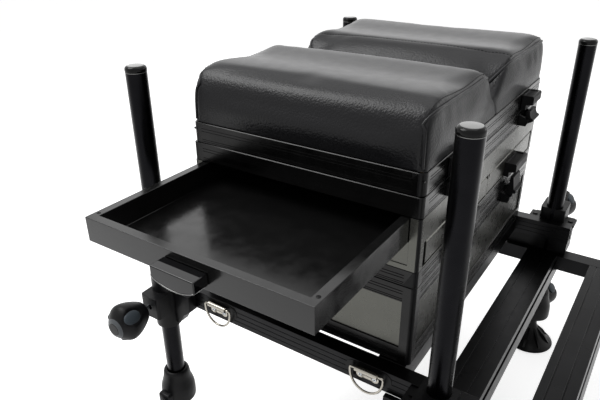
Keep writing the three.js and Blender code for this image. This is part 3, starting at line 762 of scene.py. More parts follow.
@dataclass
class Cushion:
    """The split cushion: a humped top panel, two end panels, piping on their seams and rows of stitches.

    The section is given as shares of the half length and of the height, from the middle to the side.
    Rays that stand off the skin find the seams' lines on it.
    """

    node: str = "seat_cushion"
    section_shares: tuple[Pair, ...] = (
        (0, 0.28), (0.02, 0.30), (0.05, 0.40), (0.085, 0.54), (0.12, 0.70), (0.165, 0.86), (0.212, 0.955),
        (0.26, 0.99), (0.33, 0.98), (0.42, 0.95), (0.50, 0.935), (0.58, 0.945), (0.66, 0.975),
        (0.74, 0.995), (0.81, 1.0), (0.875, 0.985), (0.93, 0.93), (0.968, 0.82), (0.989, 0.67),
        (0.998, 0.48), (0.999, 0.24), (0.998, 0.0),
    )
    slack: float = 1.2 * MM
    sunk: float = 9 * MM
    section_round: float = 9 * MM
    end_round: float = 7 * MM
    voxel: float = 5 * MM
    held: float = 6 * MM
    resting: float = 3 * MM
    clear: float = 0.2 * MM
    pressure: float = 4.0
    skin_stiffness: float = 12.0
    bend_stiffness: float = 6.0
    frames: int = 20
    swell: float = 3 * MM
    relax_rounds: int = 6
    ray_gap: float = 40 * MM
    ray_height: float = 30 * MM
    side_ray_pitch: float = 4 * MM
    side_rays: int = 14
    top_rays: int = 60
    top_rays_inset: float = 6 * MM
    piping_inset: float = 3 * MM
    piping_lean: float = 30 * MM
    piping_sunk: float = 0.3 * MM
    piping_radius: float = 2.1 * MM
    piping_gutter: Pair = (6 * MM, 1.6 * MM)
    crest_share: float = 0.245
    crest_inset: float = 8 * MM
    crest_rays_count: int = 60
    crest_gutter: Pair = (4 * MM, 1.0 * MM)
    gutter_curve: float = 1.5
    crease_half: float = 7 * MM
    crease_end: float = 12 * MM
    crease_foot: float = 10 * MM
    end_crease: float = 2.2 * MM
    valley_crease: float = 2.0 * MM
    stitch_row_inset: float = 9 * MM
    stitch_row_lean: float = 8 * MM
    stitch_length: float = 3.2 * MM
    stitch_pitch: float = 5.5 * MM
    stitch_radius: float = 0.42 * MM
    stitch_proud: float = 0.4
    stitch_sides: int = 6
    fill: float = 0.8
    low: Vector = field(default_factory=lambda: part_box("seat_cushion")[0])
    high: Vector = field(default_factory=lambda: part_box("seat_cushion")[1])

    @property
    def centre(self) -> Vector:
        """Middle of the cushion's box."""
        return (self.low + self.high) / 2

    @property
    def half(self) -> float:
        """Half the cushion's length, along X."""
        return (self.high.x - self.low.x) / 2

    def build(self) -> None:
        """Make the cushion with its piping and stitches."""
        pad = self.blank()
        self.stuff(pad)
        self.apply(pad, "SUBSURF", levels=1, render_levels=1)
        skin = self.skin(pad)
        rims = {end: self.rays(end, self.piping_inset, self.piping_lean) for end in End}
        piping_lines = {end: self.land(skin, rays, self.piping_sunk) for end, rays in rims.items()}
        crest_lines = [self.land(skin, self.crest_rays(side)) for side in Side]
        for line in piping_lines.values():
            self.press(pad, line, *self.piping_gutter)
        for line in crest_lines:
            self.press(pad, line, *self.crest_gutter)
        self.crease(pad)
        skin = self.skin(pad)
        for end, line in piping_lines.items():
            cord = tube_path(f"piping_{end.name.lower()}", line, self.piping_radius, CORDING)
            goes_on(cord, self.node)
        end_rows = [self.land(skin, self.rays(end, self.stitch_row_inset, self.stitch_row_lean)) for end in End]
        goes_on(self.stitches("cushion_stitches", [*end_rows, *crest_lines], skin), self.node)
        for polygon in pad.data.polygons:
            polygon.use_smooth = True
        stands_for(pad, self.node)

    def section(self) -> list[Pair]:
        """Return the outline across the cushion.

        Returns:
            (x, z) points, from the left foot to the right one.
        """
        half = self.half - self.slack
        tall = self.high.z - self.low.z - self.slack / 2
        right = [(share * half, up * tall) for share, up in self.section_shares]
        left = [(-x, z) for x, z in reversed(right[1:])]
        corners = [(left[0][0], -self.sunk), *left, *right, (right[-1][0], -self.sunk)]
        return rounded(corners, self.section_round, 3)

    def blank(self) -> Object:
        """Draw the section from front to rear, close its ends and round their rims.

        Returns:
            The plain pad.
        """
        mesh = bmesh.new()
        front = self.low.y + self.slack
        rear = self.high.y - self.slack
        outline = [Vector((self.centre.x + x, front, self.low.z + z)) for x, z in self.section()]
        prism(mesh, outline, Vector((0, rear - front, 0)))
        foot = self.low.z - self.sunk + 100 * SAME_PLACE
        ends = [e for e in mesh.edges if abs(e.verts[0].co.y - e.verts[1].co.y) < SAME_PLACE]
        rims = [e for e in ends if max(v.co.z for v in e.verts) > foot]
        round_edges(mesh, rims, self.end_round, 4, clamp=True)
        bmesh.ops.recalc_face_normals(mesh, faces=mesh.faces)
        return polished(mesh, "cushion", [LEATHERETTE], Shade.NONE)

    def stuff(self, pad: Object) -> None:
        """Remesh the pad, blow it up a little with its foot held, and relax its skin.

        Args:
            pad: the blank, which this changes.
        """
        self.apply(pad, "REMESH", mode="VOXEL", voxel_size=self.voxel)
        start = [v.co.copy() for v in pad.data.vertices]
        blown = self.blown_up(pad)
        for vertex, here, there in zip(pad.data.vertices, start, blown):
            move = there - here
            if move.length > self.swell:
                move *= self.swell / move.length
            vertex.co = here + move
        self.relax(pad)

    def blown_up(self, pad: Object) -> list[Vector]:
        """Run the pad as cloth under pressure.

        Args:
            pad: the remeshed blank, which keeps its shape.

        Returns:
            Where the cloth takes its points.
        """
        held = pad.vertex_groups.new(name="foot")
        foot = [v.index for v in pad.data.vertices if v.co.z < self.low.z + self.held]
        held.add(foot, 1.0, "REPLACE")
        cloth = pad.modifiers.new("fill", "CLOTH")
        settings = cloth.settings
        settings.use_pressure = True
        settings.uniform_pressure_force = self.pressure
        settings.vertex_group_mass = "foot"
        settings.tension_stiffness = self.skin_stiffness
        settings.compression_stiffness = self.skin_stiffness
        settings.bending_stiffness = self.bend_stiffness
        settings.effector_weights.gravity = 0
        scene = bpy.context.scene
        for step in range(1, self.frames + 1):
            scene.frame_set(step)
        graph = bpy.context.evaluated_depsgraph_get()
        swollen = bpy.data.meshes.new_from_object(pad.evaluated_get(graph))
        places = [v.co.copy() for v in swollen.vertices]
        pad.modifiers.remove(cloth)
        bpy.data.meshes.remove(swollen)
        scene.frame_set(1)
        return places

    @staticmethod
    def apply(piece: Object, kind: str, **values: object) -> None:
        """Apply one modifier to a piece.

        Args:
            piece: the piece, whose mesh is replaced.
            kind: the modifier's type.
            **values: its settings.
        """
        made = piece.modifiers.new(kind.lower(), kind)
        for key, value in values.items():
            setattr(made, key, value)
        bpy.context.view_layer.update()
        graph = bpy.context.evaluated_depsgraph_get()
        mesh = bpy.data.meshes.new_from_object(piece.evaluated_get(graph))
        old = piece.data
        materials = list(old.materials)
        piece.modifiers.remove(made)
        piece.data = mesh
        mesh.materials.clear()
        for material in materials:
            mesh.materials.append(material)
        bpy.data.meshes.remove(old)

    def relax(self, pad: Object) -> None:
        """Relax the skin, and keep its foot on the board.

        Args:
            pad: the cushion.
        """
        mesh = bmesh.new()
        mesh.from_mesh(pad.data)
        for _ in range(self.relax_rounds):
            free = [v for v in mesh.verts if v.co.z > self.low.z + self.resting]
            bmesh.ops.smooth_vert(
                mesh, verts=free, factor=0.5, use_axis_x=True, use_axis_y=True, use_axis_z=True
            )
        for vertex in mesh.verts:
            vertex.co.z = max(vertex.co.z, self.low.z + self.clear)
        for face in mesh.faces:
            face.smooth = True
        mesh.to_mesh(pad.data)
        mesh.free()

    def rays(self, end: End, inset: float, lean: float) -> list[Ray]:
        """Return rays that meet the rim of one end panel, from the left foot over the top to the right foot.

        Args:
            end: the end panel.
            inset: how far inside the cushion's end the rays meet it.
            lean: how far outside that the rays start.

        Returns:
            Pairs of a starting point and a direction.
        """
        y = self.low.y if end is End.FRONT else self.high.y
        start_y = y - end.value * inset + end.value * lean
        slope = -end.value * lean / self.ray_gap
        heights = [self.low.z + self.side_ray_pitch * step for step in range(1, self.side_rays + 1)]
        reach = self.half + self.ray_gap
        found = [(Vector((self.centre.x - reach, start_y, z)), Vector((1, slope, 0))) for z in heights]
        for step in range(-self.top_rays, self.top_rays + 1):
            x = self.centre.x + step / self.top_rays * (self.half - self.top_rays_inset)
            found.append((Vector((x, start_y, self.high.z + self.ray_height)), Vector((0, slope, -1))))
        for z in reversed(heights):
            found.append((Vector((self.centre.x + reach, start_y, z)), Vector((-1, slope, 0))))
        return found

    def crest_rays(self, side: Side) -> list[Ray]:
        """Return rays onto the seam that runs along one crest of the valley.

        Args:
            side: of the valley.

        Returns:
            Pairs of a starting point and a direction.
        """
        x = self.centre.x + side.value * self.crest_share * self.half
        length = self.high.y - self.low.y - 2 * self.crest_inset
        rows = []
        for step in range(self.crest_rays_count + 1):
            y = self.low.y + self.crest_inset + step / self.crest_rays_count * length
            rows.append((Vector((x, y, self.high.z + self.ray_height)), Vector((0, 0, -1))))
        return rows

    @staticmethod
    def land(skin: BVHTree, rays: list[Ray], sink: float = 0.0) -> list[Vector]:
        """Find where rays meet the skin, and even the line out.

        Args:
            skin: the cushion's faces.
            rays: pairs of a starting point and a direction.
            sink: how far under the skin the line lies.

        Returns:
            Points of the line.
        """
        met = []
        for start, way in rays:
            place, normal, _, _ = skin.ray_cast(start, way.normalized())
            if place is not None:
                met.append(place - normal * sink)
        for _ in range(3):
            inner = [(a + b * 2 + c) / 4 for a, b, c in zip(met, met[1:], met[2:])]
            met = [met[0], *inner, met[-1]]
        return met

    def press(self, pad: Object, line: list[Vector], reach: float, depth: float) -> None:
        """Press a gutter into the skin along a line.

        Args:
            pad: the cushion.
            line: points of the seam.
            reach: half the gutter's width.
            depth: how deep it is pressed.
        """
        near = KDTree(len(line))
        for i, point in enumerate(line):
            near.insert(point, i)
        near.balance()
        pad.data.update()
        for vertex in pad.data.vertices:
            _, _, gap = near.find(vertex.co)
            if gap < reach:
                vertex.co -= vertex.normal * depth * (1 - gap / reach) ** self.gutter_curve

    def crease(self, pad: Object) -> None:
        """Press the crease where the two halves meet, down the valley's foot and both end panels.

        Args:
            pad: the cushion.
        """
        for vertex in pad.data.vertices:
            place = vertex.co
            off = abs(place.x - self.centre.x)
            if off > self.crease_half:
                continue
            share = (1 - off / self.crease_half) ** 2
            at_end = min(place.y - self.low.y, self.high.y - place.y) < self.crease_end
            if at_end:
                inwards = 1 if place.y < self.centre.y else -1
                place.y += inwards * self.end_crease * share
            elif place.z > self.low.z + self.crease_foot:
                place.z -= self.valley_crease * share

    def stitches(self, name: str, lines: list[list[Vector]], skin: BVHTree) -> Object:
        """Sew rows of short stitches onto the skin.

        Args:
            name: the new object's name.
            lines: one row of stitches along each.
            skin: the cushion's faces.

        Returns:
            All the stitches, in one piece.
        """
        mesh = bmesh.new()
        for line in lines:
            travelled = 0.0
            for here, there in zip(line, line[1:]):
                way = there - here
                while travelled < way.length:
                    hit, normal, _, _ = skin.find_nearest(here + way.normalized() * travelled)
                    turn = way.to_track_quat("Z", "Y").to_matrix().to_4x4()
                    lift = Matrix.Translation(hit + normal * self.stitch_radius * self.stitch_proud)
                    bmesh.ops.create_cone(
                        mesh,
                        cap_ends=True,
                        segments=self.stitch_sides,
                        radius1=self.stitch_radius,
                        radius2=self.stitch_radius,
                        depth=self.stitch_length,
                        matrix=lift @ turn,
                    )
                    travelled += self.stitch_pitch
                travelled -= way.length
        return polished(mesh, name, [THREAD], Shade.SOFT)

    @staticmethod
    def skin(pad: Object) -> BVHTree:
        """Return a search tree of the cushion's faces.

        Args:
            pad: the cushion.

        Returns:
            The tree.
        """
        mesh = bmesh.new()
        mesh.from_mesh(pad.data)
        tree = BVHTree.FromBMesh(mesh)
        mesh.free()
        return tree


@dataclass
class Grip:
    """A clamp knob's grip: fat and three-lobed, with oval pads in hollows and a ringed disc at its end.

    The widths are shares of the greatest one, at shares of the length, from the clamp outwards.
    """

    start: Vector
    out: int
    radius: float = 29.9 * MM
    length: float = 58 * MM
    rings: int = 40
    sides: int = 84
    lobes: int = 3
    lobe_share: float = 0.05
    lobe_stretch: float = 1.05
    pad_turn: float = math.radians(139)
    pad_share: float = 0.62
    pad_half: Triple = (10.6 * MM, 14.5 * MM, 3.4 * MM)
    pad_sunk: float = 4.2 * MM
    pad_facets: tuple[int, int] = (28, 14)
    hollow_half: Pair = (19 * MM, 14 * MM)
    hollow_depth: float = 3.2 * MM
    hollow_edge: float = 0.28
    width_shares: tuple[Pair, ...] = (
        (0.0, 0.46), (0.03, 0.54), (0.1, 0.625), (0.2, 0.725), (0.32, 0.83), (0.45, 0.92), (0.55, 0.97),
        (0.64, 0.998), (0.71, 0.99), (0.78, 0.93), (0.85, 0.825), (0.91, 0.69), (0.96, 0.55), (1.0, 0.40),
    )
    disc: tuple[Pair, ...] = (
        (0, 0), (10.6 * MM, 0), (10.6 * MM, 0.9 * MM), (10 * MM, 1.5 * MM), (0, 1.5 * MM),
    )
    ring: tuple[Pair, ...] = (
        (10.4 * MM, -4 * MM), (17.2 * MM, -4.2 * MM), (17.2 * MM, -3 * MM), (14 * MM, 0),
        (10.4 * MM, 1 * MM), (10.4 * MM, -4 * MM),
    )

    def draw(self, mesh: BMesh) -> None:
        """Add the whole grip: body 0, pads 1, end disc 0 and its ring 3, by material index.

        Args:
            mesh: receives the grip.
        """
        self.body(mesh)
        end = self.start + Vector((self.out * self.length, 0, 0))
        for profile, material in ((self.disc, 0), (self.ring, 3)):
            outwards = [(radius, self.out * height) for radius, height in profile]
            turned(mesh, outwards, end, Axis.X, steps=40, material=material)
        for i in range(self.lobes):
            self.pad(mesh, self.pad_turn + 2 * math.pi / self.lobes * i)

    def body(self, mesh: BMesh) -> None:
        """Add rings that swell and close, with a hollow round each pad.

        Args:
            mesh: receives the body.
        """
        before = set(mesh.faces)
        rings = []
        for step in range(self.rings + 1):
            along = step / self.rings
            wide = self.radius * self.width_at(along)
            lobe = self.lobe_share * math.sin(math.pi * min(1, along * self.lobe_stretch))
            corners = []
            for i in range(self.sides):
                angle = 2 * math.pi * i / self.sides
                radius = wide * (1 - lobe * math.cos(self.lobes * (angle - self.pad_turn)))
                radius -= self.hollow(along, angle)
                place = Vector(
                    (self.out * along * self.length, radius * math.cos(angle), radius * math.sin(angle))
                )
                corners.append(mesh.verts.new(self.start + place))
            rings.append([mesh.edges.new(pair) for pair in zip(corners, corners[1:] + corners[:1])])
        for one, other in zip(rings, rings[1:]):
            bmesh.ops.bridge_loops(mesh, edges=one + other)
        bmesh.ops.contextual_create(mesh, geom=rings[0])
        bmesh.ops.contextual_create(mesh, geom=rings[-1])
        bmesh.ops.recalc_face_normals(mesh, faces=[f for f in mesh.faces if f not in before])

    def width_at(self, along: float) -> float:
        """Return the grip's half width somewhere along it.

        Args:
            along: share of its length.

        Returns:
            The half width, as a share of its greatest.
        """
        shares = self.width_shares
        for (start, first), (stop, last) in zip(shares, shares[1:]):
            if along <= stop:
                return first + (last - first) * (along - start) / (stop - start)
        return shares[-1][1]

    def hollow(self, along: float, angle: float) -> float:
        """Return how far the grip's skin is sunk round the nearest pad.

        Args:
            along: share of the grip's length.
            angle: round the grip's axis.

        Returns:
            The depth of the hollow there.
        """
        part = 2 * math.pi / self.lobes
        off = (angle - self.pad_turn + part / 2) % part - part / 2
        long, wide = self.hollow_half
        reach = math.hypot((along - self.pad_share) * self.length / long, off * self.radius / wide)
        edge = min(1.0, max(0.0, (1 - reach) / self.hollow_edge))
        return self.hollow_depth * edge * edge * (3 - 2 * edge)

    def pad(self, mesh: BMesh, angle: float) -> None:
        """Add one oval pad, let into its hollow between two lobes.

        Args:
            mesh: receives the pad.
            angle: where it lies round the axis.
        """
        way = Vector((0, math.cos(angle), math.sin(angle)))
        turn = way.to_track_quat("Z", "X").to_matrix().to_4x4()
        before = set(mesh.faces)
        lift = self.radius * self.width_at(self.pad_share) * (1 - self.lobe_share) - self.pad_sunk
        centre = self.start + Vector((self.out * self.length * self.pad_share, 0, 0))
        place = Matrix.Translation(centre + way * lift) @ turn @ Matrix.Diagonal((*self.pad_half, 1))
        around, up = self.pad_facets
        bmesh.ops.create_uvsphere(mesh, u_segments=around, v_segments=up, radius=1, matrix=place)
        for face in mesh.faces:
            if face not in before:
                face.material_index = 1


@dataclass
class Leg:
    """One telescopic leg: tube, cap, clamp, foot socket, mud foot and the two clamp knobs."""

    end: End
    side: Side
    clamp_edge: float = 1.2 * MM
    clamp_edge_steps: int = 3
    web_ground: float = 309 * MM
    web_reach: Pair = (15 * MM, 2 * MM)
    web_edge: float = 0.8 * MM
    web_shape: tuple[Pair, ...] = (
        (-17, 238), (-30, 247), (-38, 262), (-45, 267), (-53, 274), (-53, 303), (-17, 303),
    )
    tube_wall: float = 2 * MM
    lip_height: float = 0.6 * MM
    lip_proud: float = 0.15 * MM
    cap_round: float = 3.2 * MM
    cap_corner: float = 2.4 * MM
    cap_height: float = 8.7 * MM
    cap_crown: float = 0.3 * MM
    cap_foot: Pair = (0.6 * MM, 0.8 * MM)
    plug_play: float = 2 * MM
    cap_disc_depth: float = 0.5 * MM
    socket_foot: float = 5 * MM
    socket_top: float = 7 * MM
    socket_bore: float = 18 * MM
    socket_round: float = 4 * MM
    tube_bore: float = 15.5 * MM
    lug_half: float = 13 * MM
    lug_root: float = 16 * MM
    lug_span: Pair = (1 * MM, 27 * MM)
    lug_round: float = 5 * MM
    ball: float = 17 * MM
    ball_start: float = -50
    ball_step: float = 14
    ball_steps: int = 10
    neck: float = 10 * MM
    neck_top: float = 12 * MM
    bell_round: float = 5 * MM
    bell: tuple[Pair, ...] = ((0.7, 12 * MM), (0.44, 24 * MM), (0.28, 38 * MM))
    bell_top: float = 48 * MM
    rim: tuple[Pair, ...] = ((-1 * MM, 0), (0, 2 * MM), (-2 * MM, 4.5 * MM))
    ribs: int = 8
    rib_half: float = 2 * MM
    rib_shape: tuple[Pair, ...] = (
        (0.16, 44 * MM), (0.30, 38 * MM), (0.62, 24 * MM), (0.88, 7 * MM), (0.86, 3 * MM), (0.1, 3 * MM),
    )
    stud_radius: float = 4 * MM
    stud_bite: float = 3 * MM
    knob_inset: float = 1.5 * MM
    smooth_steps: int = 64

    @property
    def name(self) -> str:
        """The leg's place, as the CAD nodes spell it."""
        return f"{self.end.name.lower()}_{self.side.name.lower()}"

    @property
    def axis(self) -> Vector:
        """Foot of the tube's axis, at height 0."""
        return upright_axis(f"leg_tube_{self.name}")

    def build(self) -> None:
        """Make every piece of the leg."""
        self.tube()
        self.cap()
        self.socket()
        self.foot()
        self.knob("leg_knob")
        self.knob("foot_knob")
        eased(f"leg_clamp_{self.name}", MOULDED, self.clamp_edge, self.clamp_edge_steps)
        if self.end is End.REAR:
            self.clamp_web()

    def clamp_web(self) -> None:
        """Add the web that joins the rear clamp's lower collar to the end of the beam."""
        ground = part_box("base_box")[0].z - self.web_ground
        inwards, outwards = self.web_reach
        out = self.side.value
        x = self.axis.x - out * inwards
        outline = [Vector((x, self.axis.y + y * MM, ground + z * MM)) for y, z in self.web_shape]
        mesh = bmesh.new()
        prism(mesh, outline, Vector((out * (inwards + outwards), 0, 0)))
        round_edges(mesh, mesh.edges, self.web_edge)
        goes_on(polished(mesh, f"clamp_web_{self.name}", [MOULDED]), f"leg_clamp_{self.name}")

    def tube(self) -> None:
        """Make the drawn tube, with its bare cut edge."""
        node = f"leg_tube_{self.name}"
        low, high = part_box(node)
        radius = (high.x - low.x) / 2
        bore = radius - self.tube_wall
        mesh = bmesh.new()
        wall = [(bore, low.z), (radius, low.z), (radius, high.z), (bore, high.z), (bore, low.z)]
        turned(mesh, wall, self.axis)
        foot = high.z - self.lip_height
        outer = radius + self.lip_proud
        lip = [(bore, foot), (outer, foot), (outer, high.z), (bore, high.z), (bore, foot)]
        turned(mesh, lip, self.axis, material=1)
        stands_for(polished(mesh, f"tube_{self.name}", [TUBE, BARE_EDGE]), node)

    def cap(self) -> None:
        """Make the glossy end cap, with a pale disc on its top."""
        node = f"leg_cap_{self.name}"
        low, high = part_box(node)
        axis = upright_axis(node)
        radius = (high.x - low.x) / 2
        plug = radius - self.tube_wall - self.plug_play
        step = high.z - self.cap_height
        disc = radius - self.cap_round
        side, up = self.cap_foot
        outline = [
            (0, low.z), (plug, low.z), (plug, step), (radius - side, step), (radius, step + up),
            (radius, high.z - self.cap_round), (disc, high.z - self.cap_crown), (0, high.z),
        ]
        mesh = bmesh.new()
        turned(mesh, rounded(outline, self.cap_corner, 5), axis, steps=self.smooth_steps)
        for face in mesh.faces:
            place = face.calc_center_median()
            on_top = place.z > high.z - self.cap_disc_depth
            face.material_index = int(on_top and (place - axis).xy.length < disc)
        stands_for(polished(mesh, f"cap_{self.name}", [CAP_RIM, PALE_DISC_AND_LIP_HIGHLIGHT], Shade.SOFT), node)

    def socket(self) -> None:
        """Make the foot socket: a flared housing with a split lug for its knob."""
        node = f"foot_socket_{self.name}"
        low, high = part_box(node)
        axis = self.axis
        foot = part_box(f"mud_foot_{self.name}")[1].z
        body = (high.y - low.y) / 2
        bottom = low.z + self.socket_foot
        top = high.z - self.socket_top
        outline = [
            (self.socket_bore, bottom), (body - 2 * MM, bottom), (body, bottom + 3 * MM),
            (body, bottom + 20 * MM), (body - 1 * MM, bottom + 30 * MM), (body - 6 * MM, top - 18 * MM),
            (22 * MM, top - 3 * MM), (19 * MM, top), (self.tube_bore, top),
            (self.tube_bore, foot + 12 * MM), (self.socket_bore, foot - 2 * MM), (self.socket_bore, bottom),
        ]
        mesh = bmesh.new()
        turned(mesh, rounded(outline, self.socket_round, 4), axis, steps=self.smooth_steps)
        out = self.side.value
        reach = high.x - axis.x if out > 0 else axis.x - low.x
        under, over = self.lug_span
        root = Vector((axis.x + out * self.lug_root, axis.y - self.lug_half, bottom + under))
        tip = Vector((axis.x + out * reach, axis.y + self.lug_half, bottom + over))
        block(mesh, root, tip, self.lug_round, segments=4)
        stands_for(polished(mesh, f"socket_{self.name}", [MOULDED], Shade.MOULDED), node)

    def foot(self) -> None:
        """Make the mud foot: ball, neck and a bell with radial ribs."""
        node = f"mud_foot_{self.name}"
        low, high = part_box(node)
        axis = upright_axis(node)
        rim = (high.x - low.x) / 2
        top = high.z - self.ball
        outline = [(0, low.z)]
        outline += [(rim + out, low.z + up) for out, up in self.rim]
        outline += [(rim * share, low.z + up) for share, up in self.bell]
        outline += [(self.neck, low.z + self.bell_top), (self.neck, top - self.neck_top)]
        turns = [math.radians(self.ball_start + i * self.ball_step) for i in range(self.ball_steps)]
        sphere = [(self.ball * math.cos(a), top + self.ball * math.sin(a)) for a in turns]
        profile = [*rounded(outline, self.bell_round, 3), *sphere, (0, top + self.ball)]
        mesh = bmesh.new()
        turned(mesh, profile, axis, steps=self.smooth_steps)
        for i in range(self.ribs):
            self.rib(mesh, axis + Vector((0, 0, low.z)), 2 * math.pi / self.ribs * i, rim)
        stands_for(polished(mesh, f"foot_{self.name}", [RUBBERY], Shade.SOFT), node)

    def rib(self, mesh: BMesh, foot: Vector, turn: float, rim: float) -> None:
        """Add one rib of the mud foot, from its neck down to its rim.

        Args:
            mesh: receives the rib.
            foot: middle of the foot's underside.
            turn: where the rib lies round the foot.
            rim: radius of the foot.
        """
        way = Vector((math.cos(turn), math.sin(turn), 0))
        across = Vector((-way.y, way.x, 0)) * self.rib_half
        outline = [foot + way * share * rim + Vector((0, 0, up)) - across for share, up in self.rib_shape]
        prism(mesh, outline, across * 2)

    def knob(self, kind: str) -> None:
        """Make a clamp knob: its grip and the bright stud that carries it.

        Args:
            kind: leg_knob or foot_knob.
        """
        node = f"{kind}_{self.name}"
        low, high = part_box(node)
        out = self.side.value
        far, near = (high.x, low.x) if out > 0 else (low.x, high.x)
        place = joint_place(node)
        height = place.z
        grip = Grip(Vector((0, middle(node).y, height)), out)
        grip.start.x = far - out * (grip.length + self.knob_inset)
        mesh = bmesh.new()
        grip.draw(mesh)
        length = abs(grip.start.x - near) + self.stud_bite
        stud = [(0, 0), (self.stud_radius, 0), (self.stud_radius, length), (0, length)]
        foot = Vector((min(near, grip.start.x), grip.start.y, height))
        turned(mesh, stud, foot, Axis.X, steps=24, material=2)
        finishes = [MOULDED, GRIP_PAD, STEEL, DISC_GREY]
        stands_for(polished(mesh, f"{kind}_grip_{self.name}", finishes, Shade.KNOB), node)


@dataclass
class Stack:
    """The units under the cushion: base box, trays, drawer cabinet, drawers and the seat's rail."""

    edge: float = 0.3 * MM
    drawer_edge: float = 0.7 * MM
    handle_edge: float = 1.8 * MM
    latch_edge: float = 0.9 * MM
    corner: float = 17.5 * MM
    post: float = 14.6 * MM
    wall: float = 3 * MM
    proud: float = 0.5 * MM
    panel_recess: float = 1.7 * MM
    plinth: float = 26 * MM
    panel_top: float = 98 * MM
    bow: float = 7 * MM
    bow_inset: float = 1.5 * MM
    lip_return: float = 9 * MM
    lip_radius: float = 0.7 * MM
    lip_steps: int = 12
    screw_place: Pair = (16 * MM, 6 * MM)
    screw_head: tuple[Pair, ...] = (
        (0, -1 * MM), (2.6 * MM, -1 * MM), (2.6 * MM, 0.2 * MM), (1.82 * MM, 0.7 * MM),
        (0.8 * MM, 0.8 * MM), (0.6 * MM, 0.1 * MM), (0, 0.1 * MM),
    )

    def build(self) -> None:
        """Dress every unit and add the small screws."""
        for node in ("base_box", "mid_tray", "top_tray", "seat_frame"):
            self.unit(node)
        self.cabinet()
        eased("side_drawer", SHEET, self.drawer_edge, segments=3)
        eased("side_drawer_handle", GLOSSY, self.handle_edge, segments=4)
        self.handle_lip()
        for side in Side:
            hand = side.name.lower()
            eased(f"front_drawer_{hand}", PANEL, self.edge)
            for kind in ("seat", "drawer"):
                for what in ("keeper", "lever"):
                    eased(f"{kind}_latch_{what}_{hand}", MOULDED, self.latch_edge, segments=3)
        repaint("seat_board", PLYWOOD)
        self.drawer_screws()

    def unit(self, node: str) -> None:
        """Ease a unit's edges and give rails, panels, corner blocks and latch ears their own finishes.

        Args:
            node: the CAD node of the unit.
        """
        piece = eased(node, ANODISED, self.edge)
        piece.data.materials.append(PANEL.build())
        piece.data.materials.append(MOULDED.build())
        centre, half = self.outline()
        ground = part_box(node)[0].z
        for face in piece.data.polygons:
            place = face.center - centre
            at_corner = self.beyond(place, half, self.corner)
            if at_corner or abs(place.y) > half.y + self.proud:
                face.material_index = 2
            elif node == "base_box" and self.on_panel(face.center.z - ground, place, half):
                face.material_index = 1

    def cabinet(self) -> None:
        """Dress the drawer cabinet: grey side panels between moulded corner posts."""
        piece = eased("drawer_cabinet", PANEL, self.edge)
        piece.data.materials.append(MOULDED.build())
        piece.data.materials.append(ANODISED.build())
        centre, half = self.outline()
        for face in piece.data.polygons:
            place = face.center - centre
            if self.beyond(place, half, self.post):
                face.material_index = 1
            elif self.within(place, half, self.wall):
                face.material_index = 2

    @staticmethod
    def outline() -> tuple[Vector, Vector]:
        """Return the box as seen from above.

        Returns:
            Its middle and its half sizes.
        """
        low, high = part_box("mid_tray")
        centre = middle("seat_board")
        return centre, Vector(((high.x - low.x) / 2, centre.y - low.y, 0))

    @staticmethod
    def beyond(place: Vector, half: Vector, margin: float) -> bool:
        """Say whether a point, from the box's middle, is closer than margin to two of its sides."""
        return abs(place.x) > half.x - margin and abs(place.y) > half.y - margin

    @staticmethod
    def within(place: Vector, half: Vector, margin: float) -> bool:
        """Say whether a point, from the box's middle, is further than margin from all its sides."""
        return abs(place.x) < half.x - margin and abs(place.y) < half.y - margin

    def on_panel(self, height: float, place: Vector, half: Vector) -> bool:
        """Say whether a point of the base box lies on one of its flat panels.

        Args:
            height: of the point, above the box's underside.
            place: the point, from the middle of the box.
            half: the box's half sizes.

        Returns:
            Whether the point lies between the rails and behind their faces.
        """
        return self.within(place, half, self.panel_recess) and self.plinth < height < self.panel_top

    def handle_lip(self) -> None:
        """Add the thin moulded bead along the bowed lower edge of the handle's apron; its pale metal finish is a
        painted highlight.
        """
        low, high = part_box("side_drawer_handle")
        half = (high.y - low.y) / 2 - self.bow_inset
        centre = (low.y + high.y) / 2
        back = Vector((low.x + self.lip_return, centre, low.z + self.bow))
        side = Vector((0, half + self.bow_inset, 0))
        points = [back - side]
        for step in range(-self.lip_steps, self.lip_steps + 1):
            share = step / self.lip_steps
            points.append(Vector((low.x, centre + share * half, low.z + self.bow * share * share)))
        points.append(back + side)
        # The pale metal finish paints the highlight along the bead's upper face.
        goes_on(tube_path("handle_lip", points, self.lip_radius, PALE_DISC_AND_LIP_HIGHLIGHT), "side_drawer_handle")

    def drawer_screws(self) -> None:
        """Add the small screws in the side drawer's rim, one near each corner."""
        low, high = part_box("side_drawer")
        along, across = self.screw_place
        mesh = bmesh.new()
        for x in (low.x + along, high.x - along):
            for y in (low.y + across, high.y - across):
                turned(mesh, self.screw_head, Vector((x, y, high.z)), steps=20)
        goes_on(polished(mesh, "drawer_screws", [MOULDED]), "side_drawer")


